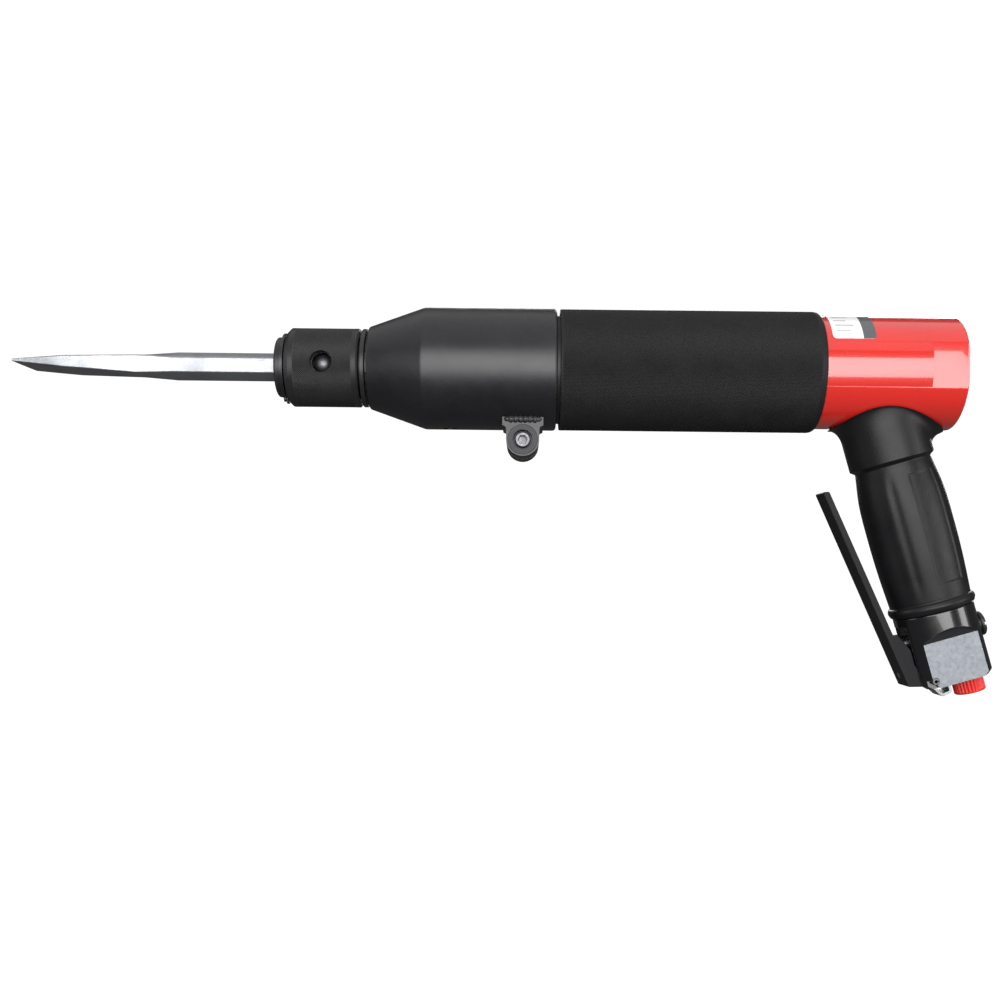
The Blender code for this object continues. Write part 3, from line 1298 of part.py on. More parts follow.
def make_stop_strip(half):
    """The bent strip inside the lever. Its lip meets the body's underside and stops the lever."""
    off_web = (LEVER_SHEET + GAP + STRIP_SHEET / 2) / math.cos(LEVER_LEAN)
    path = (
        (lever_line(STRIP_TOP) + off_web, -STRIP_TOP),
        (lever_line(STRIP_KNEE) + off_web, -STRIP_KNEE),
        (PIVOT_X + STRIP_SHEET / 2, -PIVOT_DROP - STRIP_UNDER_PIN),
        (-STRIP_TIP_FRONT, -STRIP_TIP_DROP),
        (-STRIP_LIP_FRONT, -STRIP_TIP_DROP + STRIP_LIP_RISE),
        (-STRIP_LIP_FRONT, -BODY_BOTTOM - GAP),
    )
    outline = beside(path, STRIP_SHEET / 2) + beside(path, -STRIP_SHEET / 2)[::-1]
    return plate("stop_strip", outline, -half, half, "zinc", HANDLE)


def beside(path, distance):
    """The points of a path in the (x, z) plane, moved to its left by a distance."""
    moved = []
    for i, point in enumerate(path):
        before = path[max(i - 1, 0)]
        after = path[min(i + 1, len(path) - 1)]
        into = Vector((point[0] - before[0], point[1] - before[1]))
        out = Vector((after[0] - point[0], after[1] - point[1]))
        into = into.normalized() if into.length else out.normalized()
        out = out.normalized() if out.length else into
        bisector = into + out
        side = Vector((-bisector.y, bisector.x)).normalized()
        reach = distance / side.dot(Vector((-into.y, into.x)))
        moved.append((point[0] + side.x * reach, point[1] + side.y * reach))
    return moved


def make_roll_pin():
    """The rolled spring pin that the lever turns on."""
    end = BODY_FLAT + PIN_END
    pin = tube(
        "roll_pin", PIN_RADIUS, PIN_BORE, -end, end, "bright_steel", "Y",
        (PIVOT_X, 0, -PIVOT_DROP), HANDLE, SMALL_ROUND,
    )
    slit = box(
        "pin_slit",
        (PIVOT_X - PIN_BORE / 3, -end - OVERRUN, -PIVOT_DROP),
        (PIVOT_X + PIN_BORE / 3, end + OVERRUN, -PIVOT_DROP + 2 * PIN_RADIUS),
        parent=HANDLE,
    )
    boolean(pin, slit)


def main():
    make_housing()
    make_grip_sleeve()
    make_label()
    make_isolation()
    make_front_tube()
    cylinder = make_cylinder()
    make_piston()
    make_valve(cylinder)
    make_holder()
    make_retainer()
    make_chisel()
    make_handle_core()
    make_handle_grip()
    make_throttle()
    make_inlet()
    make_lever()
    make_roll_pin()


main()
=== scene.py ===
"""Looks of a pneumatic air hammer with a pistol handle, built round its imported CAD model.

All lengths are metres. The hammer's axis is X with the chisel towards -X, and -Y is its left side.
Pieces of the handle are built in the handle's own frame: x to the rear across the handle, z up
along it, and a drop is a distance down along it from the hammer's axis.
"""

import json
import logging
import math
from dataclasses import dataclass, field
from enum import Enum
from typing import Callable, Iterable, Sequence

import bmesh
import bpy
from mathutils import Matrix, Vector, noise


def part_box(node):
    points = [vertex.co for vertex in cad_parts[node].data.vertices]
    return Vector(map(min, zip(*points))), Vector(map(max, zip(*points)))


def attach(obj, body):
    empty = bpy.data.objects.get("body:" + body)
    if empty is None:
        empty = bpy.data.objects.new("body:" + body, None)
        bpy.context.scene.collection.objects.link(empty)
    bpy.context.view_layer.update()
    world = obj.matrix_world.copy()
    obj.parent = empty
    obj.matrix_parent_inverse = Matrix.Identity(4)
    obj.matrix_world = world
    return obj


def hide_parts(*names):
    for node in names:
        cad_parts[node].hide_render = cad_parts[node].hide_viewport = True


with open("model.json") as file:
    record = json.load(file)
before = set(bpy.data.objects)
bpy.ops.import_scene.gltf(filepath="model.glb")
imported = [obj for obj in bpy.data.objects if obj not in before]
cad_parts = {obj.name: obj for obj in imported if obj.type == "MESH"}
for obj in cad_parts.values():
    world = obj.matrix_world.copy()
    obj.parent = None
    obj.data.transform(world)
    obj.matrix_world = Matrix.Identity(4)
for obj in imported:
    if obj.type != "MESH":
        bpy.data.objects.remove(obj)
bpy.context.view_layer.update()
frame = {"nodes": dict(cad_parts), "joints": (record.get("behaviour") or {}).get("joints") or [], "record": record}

LOG = logging.getLogger("air_hammer")

Point2 = tuple[float, float]
Corner = tuple[float, float, float]
Colour = tuple[float, float, float]

GAP = 0.0003
HIDDEN = 0.002
MARKS_PER_METRE = 70.0
ALONG_X = Matrix.Rotation(math.pi / 2, 4, "Y")
ALONG_Y = Matrix.Rotation(-math.pi / 2, 4, "X")
UPRIGHT = Matrix.Rotation(math.pi / 2, 4, "X")


def joint(name: str) -> dict:
    """The record's joint of that name.

    Args:
        name: the joint's name.

    Returns:
        The joint's entry in the record.
    """
    return next(j for j in frame["joints"] if j["name"] == name)


PIVOT_DROP = 0.1783
PIVOT_FRONT = 0.0144
REARWARD = Vector(joint("throttle_slide")["axis"]).normalized()
DOWNWARD = Vector(joint("cap_pull")["axis"]).normalized()
PIVOT = Vector(joint("lever_hinge")["pos_m"])


def handle_matrix() -> Matrix:
    """The handle's frame: x to the rear, y to the right, z up along the handle.

    Returns:
        The matrix that takes handle coordinates to the hammer's own.
    """
    origin = PIVOT - DOWNWARD * PIVOT_DROP + REARWARD * PIVOT_FRONT
    axes = Matrix((REARWARD, Vector((0, 1, 0)), -DOWNWARD)).transposed().to_4x4()
    return Matrix.Translation(origin) @ axes


HANDLE = handle_matrix()


def across_handle(drop: float) -> Matrix:
    """A turned shape's frame whose axis runs to the rear across the handle at a drop.

    Args:
        drop: the distance below the hammer axis, along the handle.

    Returns:
        The matrix whose z axis points to the rear across the handle.
    """
    return HANDLE @ Matrix.Translation((0, 0, -drop)) @ ALONG_X


class Marks(Enum):
    """Which way a finish's fine tool marks run."""

    NONE = (1.0, 1.0, 1.0)
    ROUND_THE_HAMMER = (60.0, 1.0, 1.0)
    ALONG_THE_HAMMER = (1.0, 40.0, 40.0)
    ROUND_THE_HANDLE = (1.0, 1.0, 60.0)
    CROSSWISE = (30.0, 1.0, 30.0)


class Solver(Enum):
    """How one shape is joined to or cut from another."""

    CUT = "DIFFERENCE"
    JOIN = "UNION"


# ---------------------------------------------------------------- shader groups


class NodeKit:
    """The shader node groups that the finishes share, each built once."""

    def __init__(self) -> None:
        """Builds every group."""
        self.tone = self.make_tone()
        self.grain = self.make_grain()
        self.wear = self.make_wear()
        self.dust = self.make_dust()
        self.print = self.make_print()

    @staticmethod
    def start(name: str, inputs: dict[str, tuple[str, object]], outputs: dict[str, str]) -> tuple:
        """Makes an empty group with its sockets.

        Args:
            name: the group's name.
            inputs: socket name to socket type and default value.
            outputs: socket name to socket type.

        Returns:
            The group's tree, its input node and its output node.
        """
        tree = bpy.data.node_groups.new(name, "ShaderNodeTree")
        for socket, (kind, value) in inputs.items():
            made = tree.interface.new_socket(socket, in_out="INPUT", socket_type=kind)
            made.default_value = value
        for socket, kind in outputs.items():
            tree.interface.new_socket(socket, in_out="OUTPUT", socket_type=kind)
        return tree, tree.nodes.new("NodeGroupInput"), tree.nodes.new("NodeGroupOutput")

    @staticmethod
    def math(tree: bpy.types.NodeTree, operation: str, *values: object) -> object:
        """Adds a Math node.

        Args:
            tree: the tree that it goes in.
            operation: its operation.
            values: sockets to link, or numbers.

        Returns:
            Its output socket.
        """
        node = tree.nodes.new("ShaderNodeMath")
        node.operation = operation
        for socket, value in zip(node.inputs, values):
            if isinstance(value, (int, float)):
                socket.default_value = value
            else:
                tree.links.new(value, socket)
        return node.outputs[0]

    @staticmethod
    def mapped(tree: bpy.types.NodeTree, scale: object, stretch: object) -> object:
        """Object coordinates times a scale and a stretch for each axis, as a socket.

        Args:
            tree: the tree to add to.
            scale: the socket of the scale.
            stretch: the socket of the stretch along each axis.

        Returns:
            The socket of the stretched object coordinates.
        """
        place = tree.nodes.new("ShaderNodeTexCoord")
        stretched = tree.nodes.new("ShaderNodeVectorMath")
        stretched.operation = "MULTIPLY"
        tree.links.new(place.outputs["Object"], stretched.inputs[0])
        tree.links.new(stretch, stretched.inputs[1])
        scaled = tree.nodes.new("ShaderNodeVectorMath")
        scaled.operation = "SCALE"
        tree.links.new(stretched.outputs[0], scaled.inputs[0])
        tree.links.new(scale, scaled.inputs["Scale"])
        return scaled.outputs[0]

    def make_tone(self) -> bpy.types.NodeTree:
        """A colour that drifts a little over the surface, and the mask that it drifts by.

        Returns:
            The node group.
        """
        inputs = {
            "Colour": ("NodeSocketColor", (0.5, 0.5, 0.5, 1)),
            "Second": ("NodeSocketColor", (0.5, 0.5, 0.5, 1)),
            "Scale": ("NodeSocketFloat", 60.0),
            "Drift": ("NodeSocketFloat", 0.3),
        }
        tree, given, out = self.start(
            "tone_drift", inputs, {"Colour": "NodeSocketColor", "Mask": "NodeSocketFloat"}
        )
        place = tree.nodes.new("ShaderNodeTexCoord")
        cloud = tree.nodes.new("ShaderNodeTexNoise")
        cloud.inputs["Detail"].default_value = 6
        cloud.inputs["Roughness"].default_value = 0.6
        tree.links.new(place.outputs["Object"], cloud.inputs["Vector"])
        tree.links.new(given.outputs["Scale"], cloud.inputs["Scale"])
        spread = tree.nodes.new("ShaderNodeMapRange")
        spread.inputs["From Min"].default_value = 0.3
        spread.inputs["From Max"].default_value = 0.7
        tree.links.new(cloud.outputs["Fac"], spread.inputs["Value"])
        share = self.math(tree, "MULTIPLY", spread.outputs[0], given.outputs["Drift"])
        mix = tree.nodes.new("ShaderNodeMix")
        mix.data_type = "RGBA"
        tree.links.new(share, mix.inputs["Factor"])
        tree.links.new(given.outputs["Colour"], mix.inputs[6])
        tree.links.new(given.outputs["Second"], mix.inputs[7])
        tree.links.new(mix.outputs[2], out.inputs["Colour"])
        tree.links.new(spread.outputs[0], out.inputs["Mask"])
        return tree

    def make_grain(self) -> bpy.types.NodeTree:
        """Fine relief: a grain, and tool marks drawn out along some axes.

        Returns:
            The node group.
        """
        inputs = {
            "Scale": ("NodeSocketFloat", 900.0),
            "Marks": ("NodeSocketFloat", 0.0),
            "Stretch": ("NodeSocketVector", (1, 1, 1)),
        }
        tree, given, out = self.start("fine_relief", inputs, {"Height": "NodeSocketFloat"})
        place = tree.nodes.new("ShaderNodeTexCoord")
        fine = tree.nodes.new("ShaderNodeTexNoise")
        fine.inputs["Detail"].default_value = 3
        tree.links.new(place.outputs["Object"], fine.inputs["Vector"])
        tree.links.new(given.outputs["Scale"], fine.inputs["Scale"])
        lines = tree.nodes.new("ShaderNodeTexNoise")
        lines.inputs["Scale"].default_value = 1
        lines.inputs["Detail"].default_value = 2
        spread = tree.nodes.new("ShaderNodeValue")
        spread.outputs[0].default_value = MARKS_PER_METRE
        vector = self.mapped(tree, spread.outputs[0], given.outputs["Stretch"])
        tree.links.new(vector, lines.inputs["Vector"])
        drawn = self.math(tree, "MULTIPLY", lines.outputs["Fac"], given.outputs["Marks"])
        height = self.math(tree, "ADD", fine.outputs["Fac"], drawn)
        tree.links.new(height, out.inputs["Height"])
        return tree

    def make_wear(self) -> bpy.types.NodeTree:
        """A mask of the outer edges where a coating has rubbed thin.

        Returns:
            The node group.
        """
        inputs = {
            "Width": ("NodeSocketFloat", 0.0006),
            "Amount": ("NodeSocketFloat", 0.5),
        }
        tree, given, out = self.start("edge_wear", inputs, {"Mask": "NodeSocketFloat"})
        rounded = tree.nodes.new("ShaderNodeBevel")
        rounded.samples = 4
        tree.links.new(given.outputs["Width"], rounded.inputs["Radius"])
        surface = tree.nodes.new("ShaderNodeNewGeometry")
        alike = tree.nodes.new("ShaderNodeVectorMath")
        alike.operation = "DOT_PRODUCT"
        tree.links.new(rounded.outputs[0], alike.inputs[0])
        tree.links.new(surface.outputs["Normal"], alike.inputs[1])
        edge = tree.nodes.new("ShaderNodeMapRange")
        edge.inputs["From Min"].default_value = 0.985
        edge.inputs["From Max"].default_value = 0.86
        tree.links.new(alike.outputs["Value"], edge.inputs["Value"])
        place = tree.nodes.new("ShaderNodeTexCoord")
        patches = tree.nodes.new("ShaderNodeTexNoise")
        patches.inputs["Scale"].default_value = 260
        patches.inputs["Detail"].default_value = 5
        tree.links.new(place.outputs["Object"], patches.inputs["Vector"])
        broken = tree.nodes.new("ShaderNodeMapRange")
        broken.inputs["From Min"].default_value = 0.42
        broken.inputs["From Max"].default_value = 0.6
        tree.links.new(patches.outputs["Fac"], broken.inputs["Value"])
        worn = self.math(tree, "MULTIPLY", edge.outputs[0], broken.outputs[0])
        worn = self.math(tree, "MULTIPLY", worn, given.outputs["Amount"])
        tree.links.new(worn, out.inputs["Mask"])
        return tree

    def make_dust(self) -> bpy.types.NodeTree:
        """A mask of pale dust that settles where the surface faces up.

        Returns:
            The node group.
        """
        tree, given, out = self.start(
            "dust_film", {"Amount": ("NodeSocketFloat", 0.1)}, {"Mask": "NodeSocketFloat"}
        )
        surface = tree.nodes.new("ShaderNodeNewGeometry")
        parts = tree.nodes.new("ShaderNodeSeparateXYZ")
        tree.links.new(surface.outputs["Normal"], parts.inputs[0])
        up = self.math(tree, "MAXIMUM", parts.outputs["Z"], 0.0)
        up = self.math(tree, "ADD", up, 0.25)
        place = tree.nodes.new("ShaderNodeTexCoord")
        specks = tree.nodes.new("ShaderNodeTexNoise")
        specks.inputs["Scale"].default_value = 420
        specks.inputs["Detail"].default_value = 8
        tree.links.new(place.outputs["Object"], specks.inputs["Vector"])
        cover = self.math(tree, "MULTIPLY", up, specks.outputs["Fac"])
        cover = self.math(tree, "MULTIPLY", cover, given.outputs["Amount"])
        tree.links.new(cover, out.inputs["Mask"])
        return tree

    def make_print(self) -> bpy.types.NodeTree:
        """Generic thin rules and a dark end block on a label's film, from its own flat layout.

        Returns:
            The node group.
        """
        inputs = {"Rules": ("NodeSocketFloat", 9.0), "Block": ("NodeSocketFloat", 0.7)}
        outputs = {"Rules": "NodeSocketFloat", "Block": "NodeSocketFloat"}
        tree, given, out = self.start("printed_rules", inputs, outputs)
        layout = tree.nodes.new("ShaderNodeUVMap")
        parts = tree.nodes.new("ShaderNodeSeparateXYZ")
        tree.links.new(layout.outputs[0], parts.inputs[0])
        along, across = parts.outputs["X"], parts.outputs["Y"]
        count = self.math(tree, "MULTIPLY", across, given.outputs["Rules"])
        phase = self.math(tree, "FRACT", count)
        line = self.math(tree, "LESS_THAN", phase, 0.22)
        row = self.math(tree, "FLOOR", count)
        end = self.math(tree, "FRACT", self.math(tree, "MULTIPLY", row, 0.37))
        end = self.math(tree, "MULTIPLY_ADD", end, 0.22, 0.36)
        short = self.math(tree, "LESS_THAN", along, end)
        inset = self.math(tree, "GREATER_THAN", along, 0.10)
        inside = self.math(tree, "MULTIPLY", short, inset)
        top = self.math(tree, "LESS_THAN", across, 0.86)
        bottom = self.math(tree, "GREATER_THAN", across, 0.12)
        inside = self.math(tree, "MULTIPLY", inside, self.math(tree, "MULTIPLY", top, bottom))
        tree.links.new(self.math(tree, "MULTIPLY", line, inside), out.inputs["Rules"])
        dark = self.math(tree, "GREATER_THAN", along, given.outputs["Block"])
        tree.links.new(dark, out.inputs["Block"])
        return tree


# -------------------------------------------------------------------- finishes


@dataclass(frozen=True)
class Finish:
    """One finish, and how it's drawn with the shared groups."""

    name: str
    colour: Colour
    second: Colour
    roughness: float
    metallic: float = 0.0
    coat: float = 0.0
    coat_roughness: float = 0.05
    specular: float = 0.5
    sheen: float = 0.0
    drift: float = 0.5
    drift_scale: float = 45.0
    rough_drift: float = 0.08
    grain: float = 900.0
    depth: float = 0.08
    marks: Marks = Marks.NONE
    mark_depth: float = 0.0
    wear: float = 0.0
    wear_width: float = 0.0006
    bare: Colour = (0.42, 0.42, 0.43)
    dust: float = 0.0
    printed: bool = False

    def build(self, kit: NodeKit) -> bpy.types.Material:
        """Draws the finish.

        Args:
            kit: the shared node groups.

        Returns:
            The new material.
        """
        material = bpy.data.materials.new(self.name)
        material.use_nodes = True
        material.diffuse_color = (*self.colour, 1)
        tree = material.node_tree
        shader = tree.nodes["Principled BSDF"]
        shader.inputs["Metallic"].default_value = self.metallic
        shader.inputs["Coat Weight"].default_value = self.coat
        shader.inputs["Coat Roughness"].default_value = self.coat_roughness
        shader.inputs["Specular IOR Level"].default_value = self.specular
        shader.inputs["Sheen Weight"].default_value = self.sheen
        tone = self.place(tree, kit.tone)
        tone.inputs["Colour"].default_value = (*self.colour, 1)
        tone.inputs["Second"].default_value = (*self.second, 1)
        tone.inputs["Scale"].default_value = self.drift_scale
        tone.inputs["Drift"].default_value = self.drift
        colour = tone.outputs["Colour"]
        if self.printed:
            colour = self.add_print(tree, kit, colour)
        rough = kit.math(
            tree, "MULTIPLY_ADD", tone.outputs["Mask"], self.rough_drift, self.roughness
        )
        if self.wear:
            colour = self.add_wear(tree, kit, colour, shader)
        if self.dust:
            film = self.place(tree, kit.dust)
            film.inputs["Amount"].default_value = self.dust
            colour = self.mixed(tree, film.outputs["Mask"], colour, (0.55, 0.53, 0.50))
            rough = kit.math(tree, "MULTIPLY_ADD", film.outputs["Mask"], 0.5, rough)
        tree.links.new(colour, shader.inputs["Base Color"])
        tree.links.new(rough, shader.inputs["Roughness"])
        relief = self.place(tree, kit.grain)
        relief.inputs["Scale"].default_value = self.grain
        relief.inputs["Marks"].default_value = self.mark_depth
        relief.inputs["Stretch"].default_value = self.marks.value
        bump = tree.nodes.new("ShaderNodeBump")
        bump.inputs["Strength"].default_value = self.depth
        bump.inputs["Distance"].default_value = 0.0004
        tree.links.new(relief.outputs["Height"], bump.inputs["Height"])
        tree.links.new(bump.outputs[0], shader.inputs["Normal"])
        return material

    @staticmethod
    def place(tree: bpy.types.NodeTree, group: bpy.types.NodeTree) -> bpy.types.Node:
        """Puts a shared group in a material's tree.

        Args:
            tree: the material's tree.
            group: the shared group.

        Returns:
            The new group node.
        """
        node = tree.nodes.new("ShaderNodeGroup")
        node.node_tree = group
        return node

    @staticmethod
    def mixed(tree: bpy.types.NodeTree, mask: object, colour: object, other: Colour) -> object:
        """Mixes a colour with another by a mask.

        Args:
            tree: the material's tree.
            mask: the socket of the mask.
            colour: the socket of the colour underneath.
            other: the colour where the mask is 1.

        Returns:
            The socket of the mixed colour.
        """
        mix = tree.nodes.new("ShaderNodeMix")
        mix.data_type = "RGBA"
        tree.links.new(mask, mix.inputs["Factor"])
        tree.links.new(colour, mix.inputs[6])
        mix.inputs[7].default_value = (*other, 1)
        return mix.outputs[2]

    def add_wear(self, tree: bpy.types.NodeTree, kit: NodeKit, colour: object, shader: object) -> object:
        """Bares the metal along the edges.

        Args:
            tree: the material's tree.
            kit: the shared node groups.
            colour: the socket of the coating's colour.
            shader: the material's shader.

        Returns:
            The socket of the worn colour.
        """
        worn = self.place(tree, kit.wear)
        worn.inputs["Width"].default_value = self.wear_width
        worn.inputs["Amount"].default_value = self.wear
        metal = kit.math(
            tree, "MULTIPLY_ADD", worn.outputs["Mask"], 1 - self.metallic, self.metallic
        )
        tree.links.new(metal, shader.inputs["Metallic"])
        return self.mixed(tree, worn.outputs["Mask"], colour, self.bare)

    def add_print(self, tree: bpy.types.NodeTree, kit: NodeKit, colour: object) -> object:
        """Prints generic rules and a dark end block on the film.

        Args:
            tree: the material's tree.
            kit: the shared node groups.
            colour: the socket of the film's colour.

        Returns:
            The socket of the printed colour.
        """
        rules = self.place(tree, kit.print)
        colour = self.mixed(tree, rules.outputs["Rules"], colour, (0.30, 0.31, 0.32))
        return self.mixed(tree, rules.outputs["Block"], colour, (0.075, 0.08, 0.085))


FINISHES = {
    "red_paint": Finish(
        "red_enamel", (0.56, 0.018, 0.012), (0.48, 0.014, 0.010), 0.24, coat=1.0,
        coat_roughness=0.06, drift=0.5, drift_scale=30, rough_drift=0.05, grain=900, depth=0.04,
    ),
    "grip_rubber": Finish(
        "grip_rubber", (0.005, 0.005, 0.006), (0.009, 0.009, 0.010), 0.36, specular=0.26,
        drift=0.6, drift_scale=70, rough_drift=0.10, grain=1500, depth=0.20, dust=0.01,
    ),
    "sleeve_rubber": Finish(
        "sleeve_rubber", (0.007, 0.007, 0.008), (0.012, 0.012, 0.013), 0.46, specular=0.16,
        drift=0.6, drift_scale=60, rough_drift=0.12, grain=1200, depth=0.15, dust=0.02,
    ),
    "label_film": Finish(
        "label_film", (0.78, 0.79, 0.78), (0.70, 0.70, 0.69), 0.30, coat=0.3, drift=0.3,
        grain=700, depth=0.02, printed=True,
    ),
    "satin_black": Finish(
        "satin_black_coating", (0.005, 0.005, 0.007), (0.009, 0.009, 0.012), 0.34, coat=0.0,
        coat_roughness=0.3, drift=0.6, drift_scale=60, rough_drift=0.08, grain=2200, depth=0.12,
        wear=0.35, bare=(0.20, 0.20, 0.21), dust=0.02,
    ),
    "lever_black": Finish(
        "lever_coating", (0.006, 0.006, 0.007), (0.010, 0.010, 0.012), 0.50, specular=0.18,
        drift=0.5, drift_scale=90, rough_drift=0.08, grain=1800, depth=0.10,
        wear=0.55, wear_width=0.0005, bare=(0.30, 0.30, 0.31), dust=0.02,
    ),
    "gloss_black": Finish(
        "gloss_black_coating", (0.004, 0.004, 0.005), (0.007, 0.007, 0.008), 0.20, coat=0.5,
        coat_roughness=0.06, drift=0.5, drift_scale=50, rough_drift=0.05, grain=500, depth=0.05,
        wear=0.25, bare=(0.35, 0.35, 0.36), dust=0.01,
    ),
    "machined_flat": Finish(
        "machined_flat", (0.28, 0.295, 0.32), (0.19, 0.20, 0.225), 0.46, metallic=0.75, drift=0.7,
        drift_scale=420, rough_drift=0.15, grain=2600, depth=0.55, marks=Marks.CROSSWISE,
        mark_depth=0.6,
    ),
    "black_oxide": Finish(
        "oiled_black_oxide", (0.010, 0.010, 0.011), (0.018, 0.018, 0.019), 0.36, metallic=0.2,
        drift=0.7, drift_scale=80, rough_drift=0.12, grain=1400, depth=0.10,
        marks=Marks.ROUND_THE_HAMMER, mark_depth=0.5, wear=0.55, wear_width=0.0004,
        bare=(0.24, 0.24, 0.25), dust=0.02,
    ),
    "knurled_black": Finish(
        "knurled_black_oxide", (0.009, 0.009, 0.010), (0.016, 0.016, 0.017), 0.40, specular=0.32,
        drift=0.5, drift_scale=120, rough_drift=0.1, grain=1600, depth=0.08, dust=0.02,
    ),
    "dark_boss": Finish(
        "turned_dark_steel", (0.018, 0.019, 0.021), (0.030, 0.030, 0.033), 0.40, metallic=0.6,
        drift=0.8, drift_scale=300, rough_drift=0.1, grain=1800, depth=0.15, wear=0.3,
        bare=(0.16, 0.16, 0.17),
    ),
    "weld_metal": Finish(
        "blackened_weld", (0.010, 0.010, 0.011), (0.030, 0.030, 0.033), 0.34, drift=0.9,
        drift_scale=500, rough_drift=0.2, grain=1500, depth=0.3,
    ),
    "dull_steel": Finish(
        "dull_screw_steel", (0.20, 0.20, 0.21), (0.12, 0.12, 0.13), 0.42, metallic=1.0,
        drift=0.8, drift_scale=400, rough_drift=0.15, grain=1800, depth=0.15,
    ),
    "ground_steel": Finish(
        "ground_steel", (0.50, 0.50, 0.52), (0.40, 0.40, 0.42), 0.30, metallic=1.0, drift=0.6,
        drift_scale=120, rough_drift=0.12, grain=1600, depth=0.12, marks=Marks.ROUND_THE_HAMMER,
        mark_depth=0.8,
    ),
    "bright_steel": Finish(
        "bright_steel", (0.70, 0.70, 0.71), (0.58, 0.58, 0.59), 0.20, metallic=1.0, drift=0.6,
        drift_scale=90, rough_drift=0.12, grain=1200, depth=0.06,
    ),
    "forged_steel": Finish(
        "ground_forged_steel", (0.46, 0.47, 0.49), (0.20, 0.21, 0.23), 0.36, metallic=1.0,
        drift=0.8, drift_scale=34, rough_drift=0.16, grain=700, depth=0.22,
        marks=Marks.ALONG_THE_HAMMER, mark_depth=0.9,
    ),
    "zinc": Finish(
        "bright_zinc_plate", (0.34, 0.35, 0.36), (0.26, 0.27, 0.29), 0.36, metallic=1.0, drift=0.8,
        drift_scale=240, rough_drift=0.15, grain=1500, depth=0.12,
    ),
    "seal_rubber": Finish(
        "seal_rubber", (0.012, 0.012, 0.012), (0.020, 0.020, 0.020), 0.45, drift=0.5, grain=1300,
        depth=0.10,
    ),
    "bronze": Finish(
        "turned_bronze", (0.50, 0.29, 0.11), (0.40, 0.22, 0.08), 0.30, metallic=1.0, drift=0.6,
        drift_scale=120, grain=1200, depth=0.10, marks=Marks.ROUND_THE_HAMMER, mark_depth=0.8,
    ),
    "brass": Finish(
        "turned_brass", (0.66, 0.46, 0.16), (0.54, 0.37, 0.12), 0.26, metallic=1.0, drift=0.6,
        drift_scale=150, grain=1200, depth=0.08, marks=Marks.ROUND_THE_HANDLE, mark_depth=0.6,
    ),
    "red_plastic": Finish(
        "moulded_red_plastic", (0.62, 0.018, 0.012), (0.50, 0.014, 0.010), 0.36, specular=0.45,
        drift=0.4, drift_scale=120, rough_drift=0.1, grain=900, depth=0.12, dust=0.02,
    ),
}


# ----------------------------------------------------------------- mesh making


def rounded(corners: Sequence[Corner], steps: int = 4, closed: bool = False) -> list[Point2]:
    """Rounds the corners of a flat path.

    Args:
        corners: x, y and the radius of each corner, 0 for a sharp one.
        steps: spans in each rounding.
        closed: whether the last corner joins the first.

    Returns:
        The points of the path.
    """
    points: list[Point2] = []
    for i, (x, y, radius) in enumerate(corners):
        here = Vector((x, y))
        at_end = not closed and i in (0, len(corners) - 1)
        if radius <= 0 or at_end:
            points.append((x, y))
            continue
        back = Vector(corners[i - 1][:2]) - here
        ahead = Vector(corners[(i + 1) % len(corners)][:2]) - here
        half = back.angle(ahead) / 2
        if half > math.pi / 2 - 0.01:
            points.append((x, y))
            continue
        reach = min(radius / math.tan(half), 0.49 * back.length, 0.49 * ahead.length)
        radius = reach * math.tan(half)
        back.normalize()
        ahead.normalize()
        centre = here + (back + ahead).normalized() * (radius / math.sin(half))
        first = here + back * reach - centre
        last = here + ahead * reach - centre
        turn = math.atan2(first.x * last.y - first.y * last.x, first.dot(last))
        for step in range(steps + 1):
            angle = turn * step / steps
            c, s = math.cos(angle), math.sin(angle)
            points.append((centre.x + first.x * c - first.y * s, centre.y + first.x * s + first.y * c))
    return points


def arc(centre: Point2, radius: float, start: float, end: float, steps: int) -> list[Point2]:
    """Points on an arc between two angles in degrees, with both ends.

    Args:
        centre: the middle of the circle.
        radius: its radius.
        start: the first angle in degrees.
        end: the last angle in degrees.
        steps: stretches between the two.

    Returns:
        The points, in order.
    """
    angles = [math.radians(start + (end - start) * i / steps) for i in range(steps + 1)]
    return [(centre[0] + radius * math.cos(a), centre[1] + radius * math.sin(a)) for a in angles]


def sharp_corners(points: Iterable[Point2]) -> list[Corner]:
    """Path points as corners that stay sharp.

    Args:
        points: plain points.

    Returns:
        The points as corners without a rounding.
    """
    return [(x, y, 0.0) for x, y in points]


def closed_object(name: str, shape: bmesh.types.BMesh, matrix: Matrix) -> bpy.types.Object:
    """Turns a bmesh into an object whose mesh is in the hammer's coordinates.

    Args:
        name: the object's name.
        shape: the bmesh, which is freed.
        matrix: from the shape's coordinates to the hammer's.

    Returns:
        The new object.
    """
    bmesh.ops.transform(shape, matrix=matrix, verts=shape.verts)
    bmesh.ops.recalc_face_normals(shape, faces=shape.faces)
    mesh = bpy.data.meshes.new(name)
    shape.to_mesh(mesh)
    shape.free()
    obj = bpy.data.objects.new(name, mesh)
    bpy.context.scene.collection.objects.link(obj)
    return obj


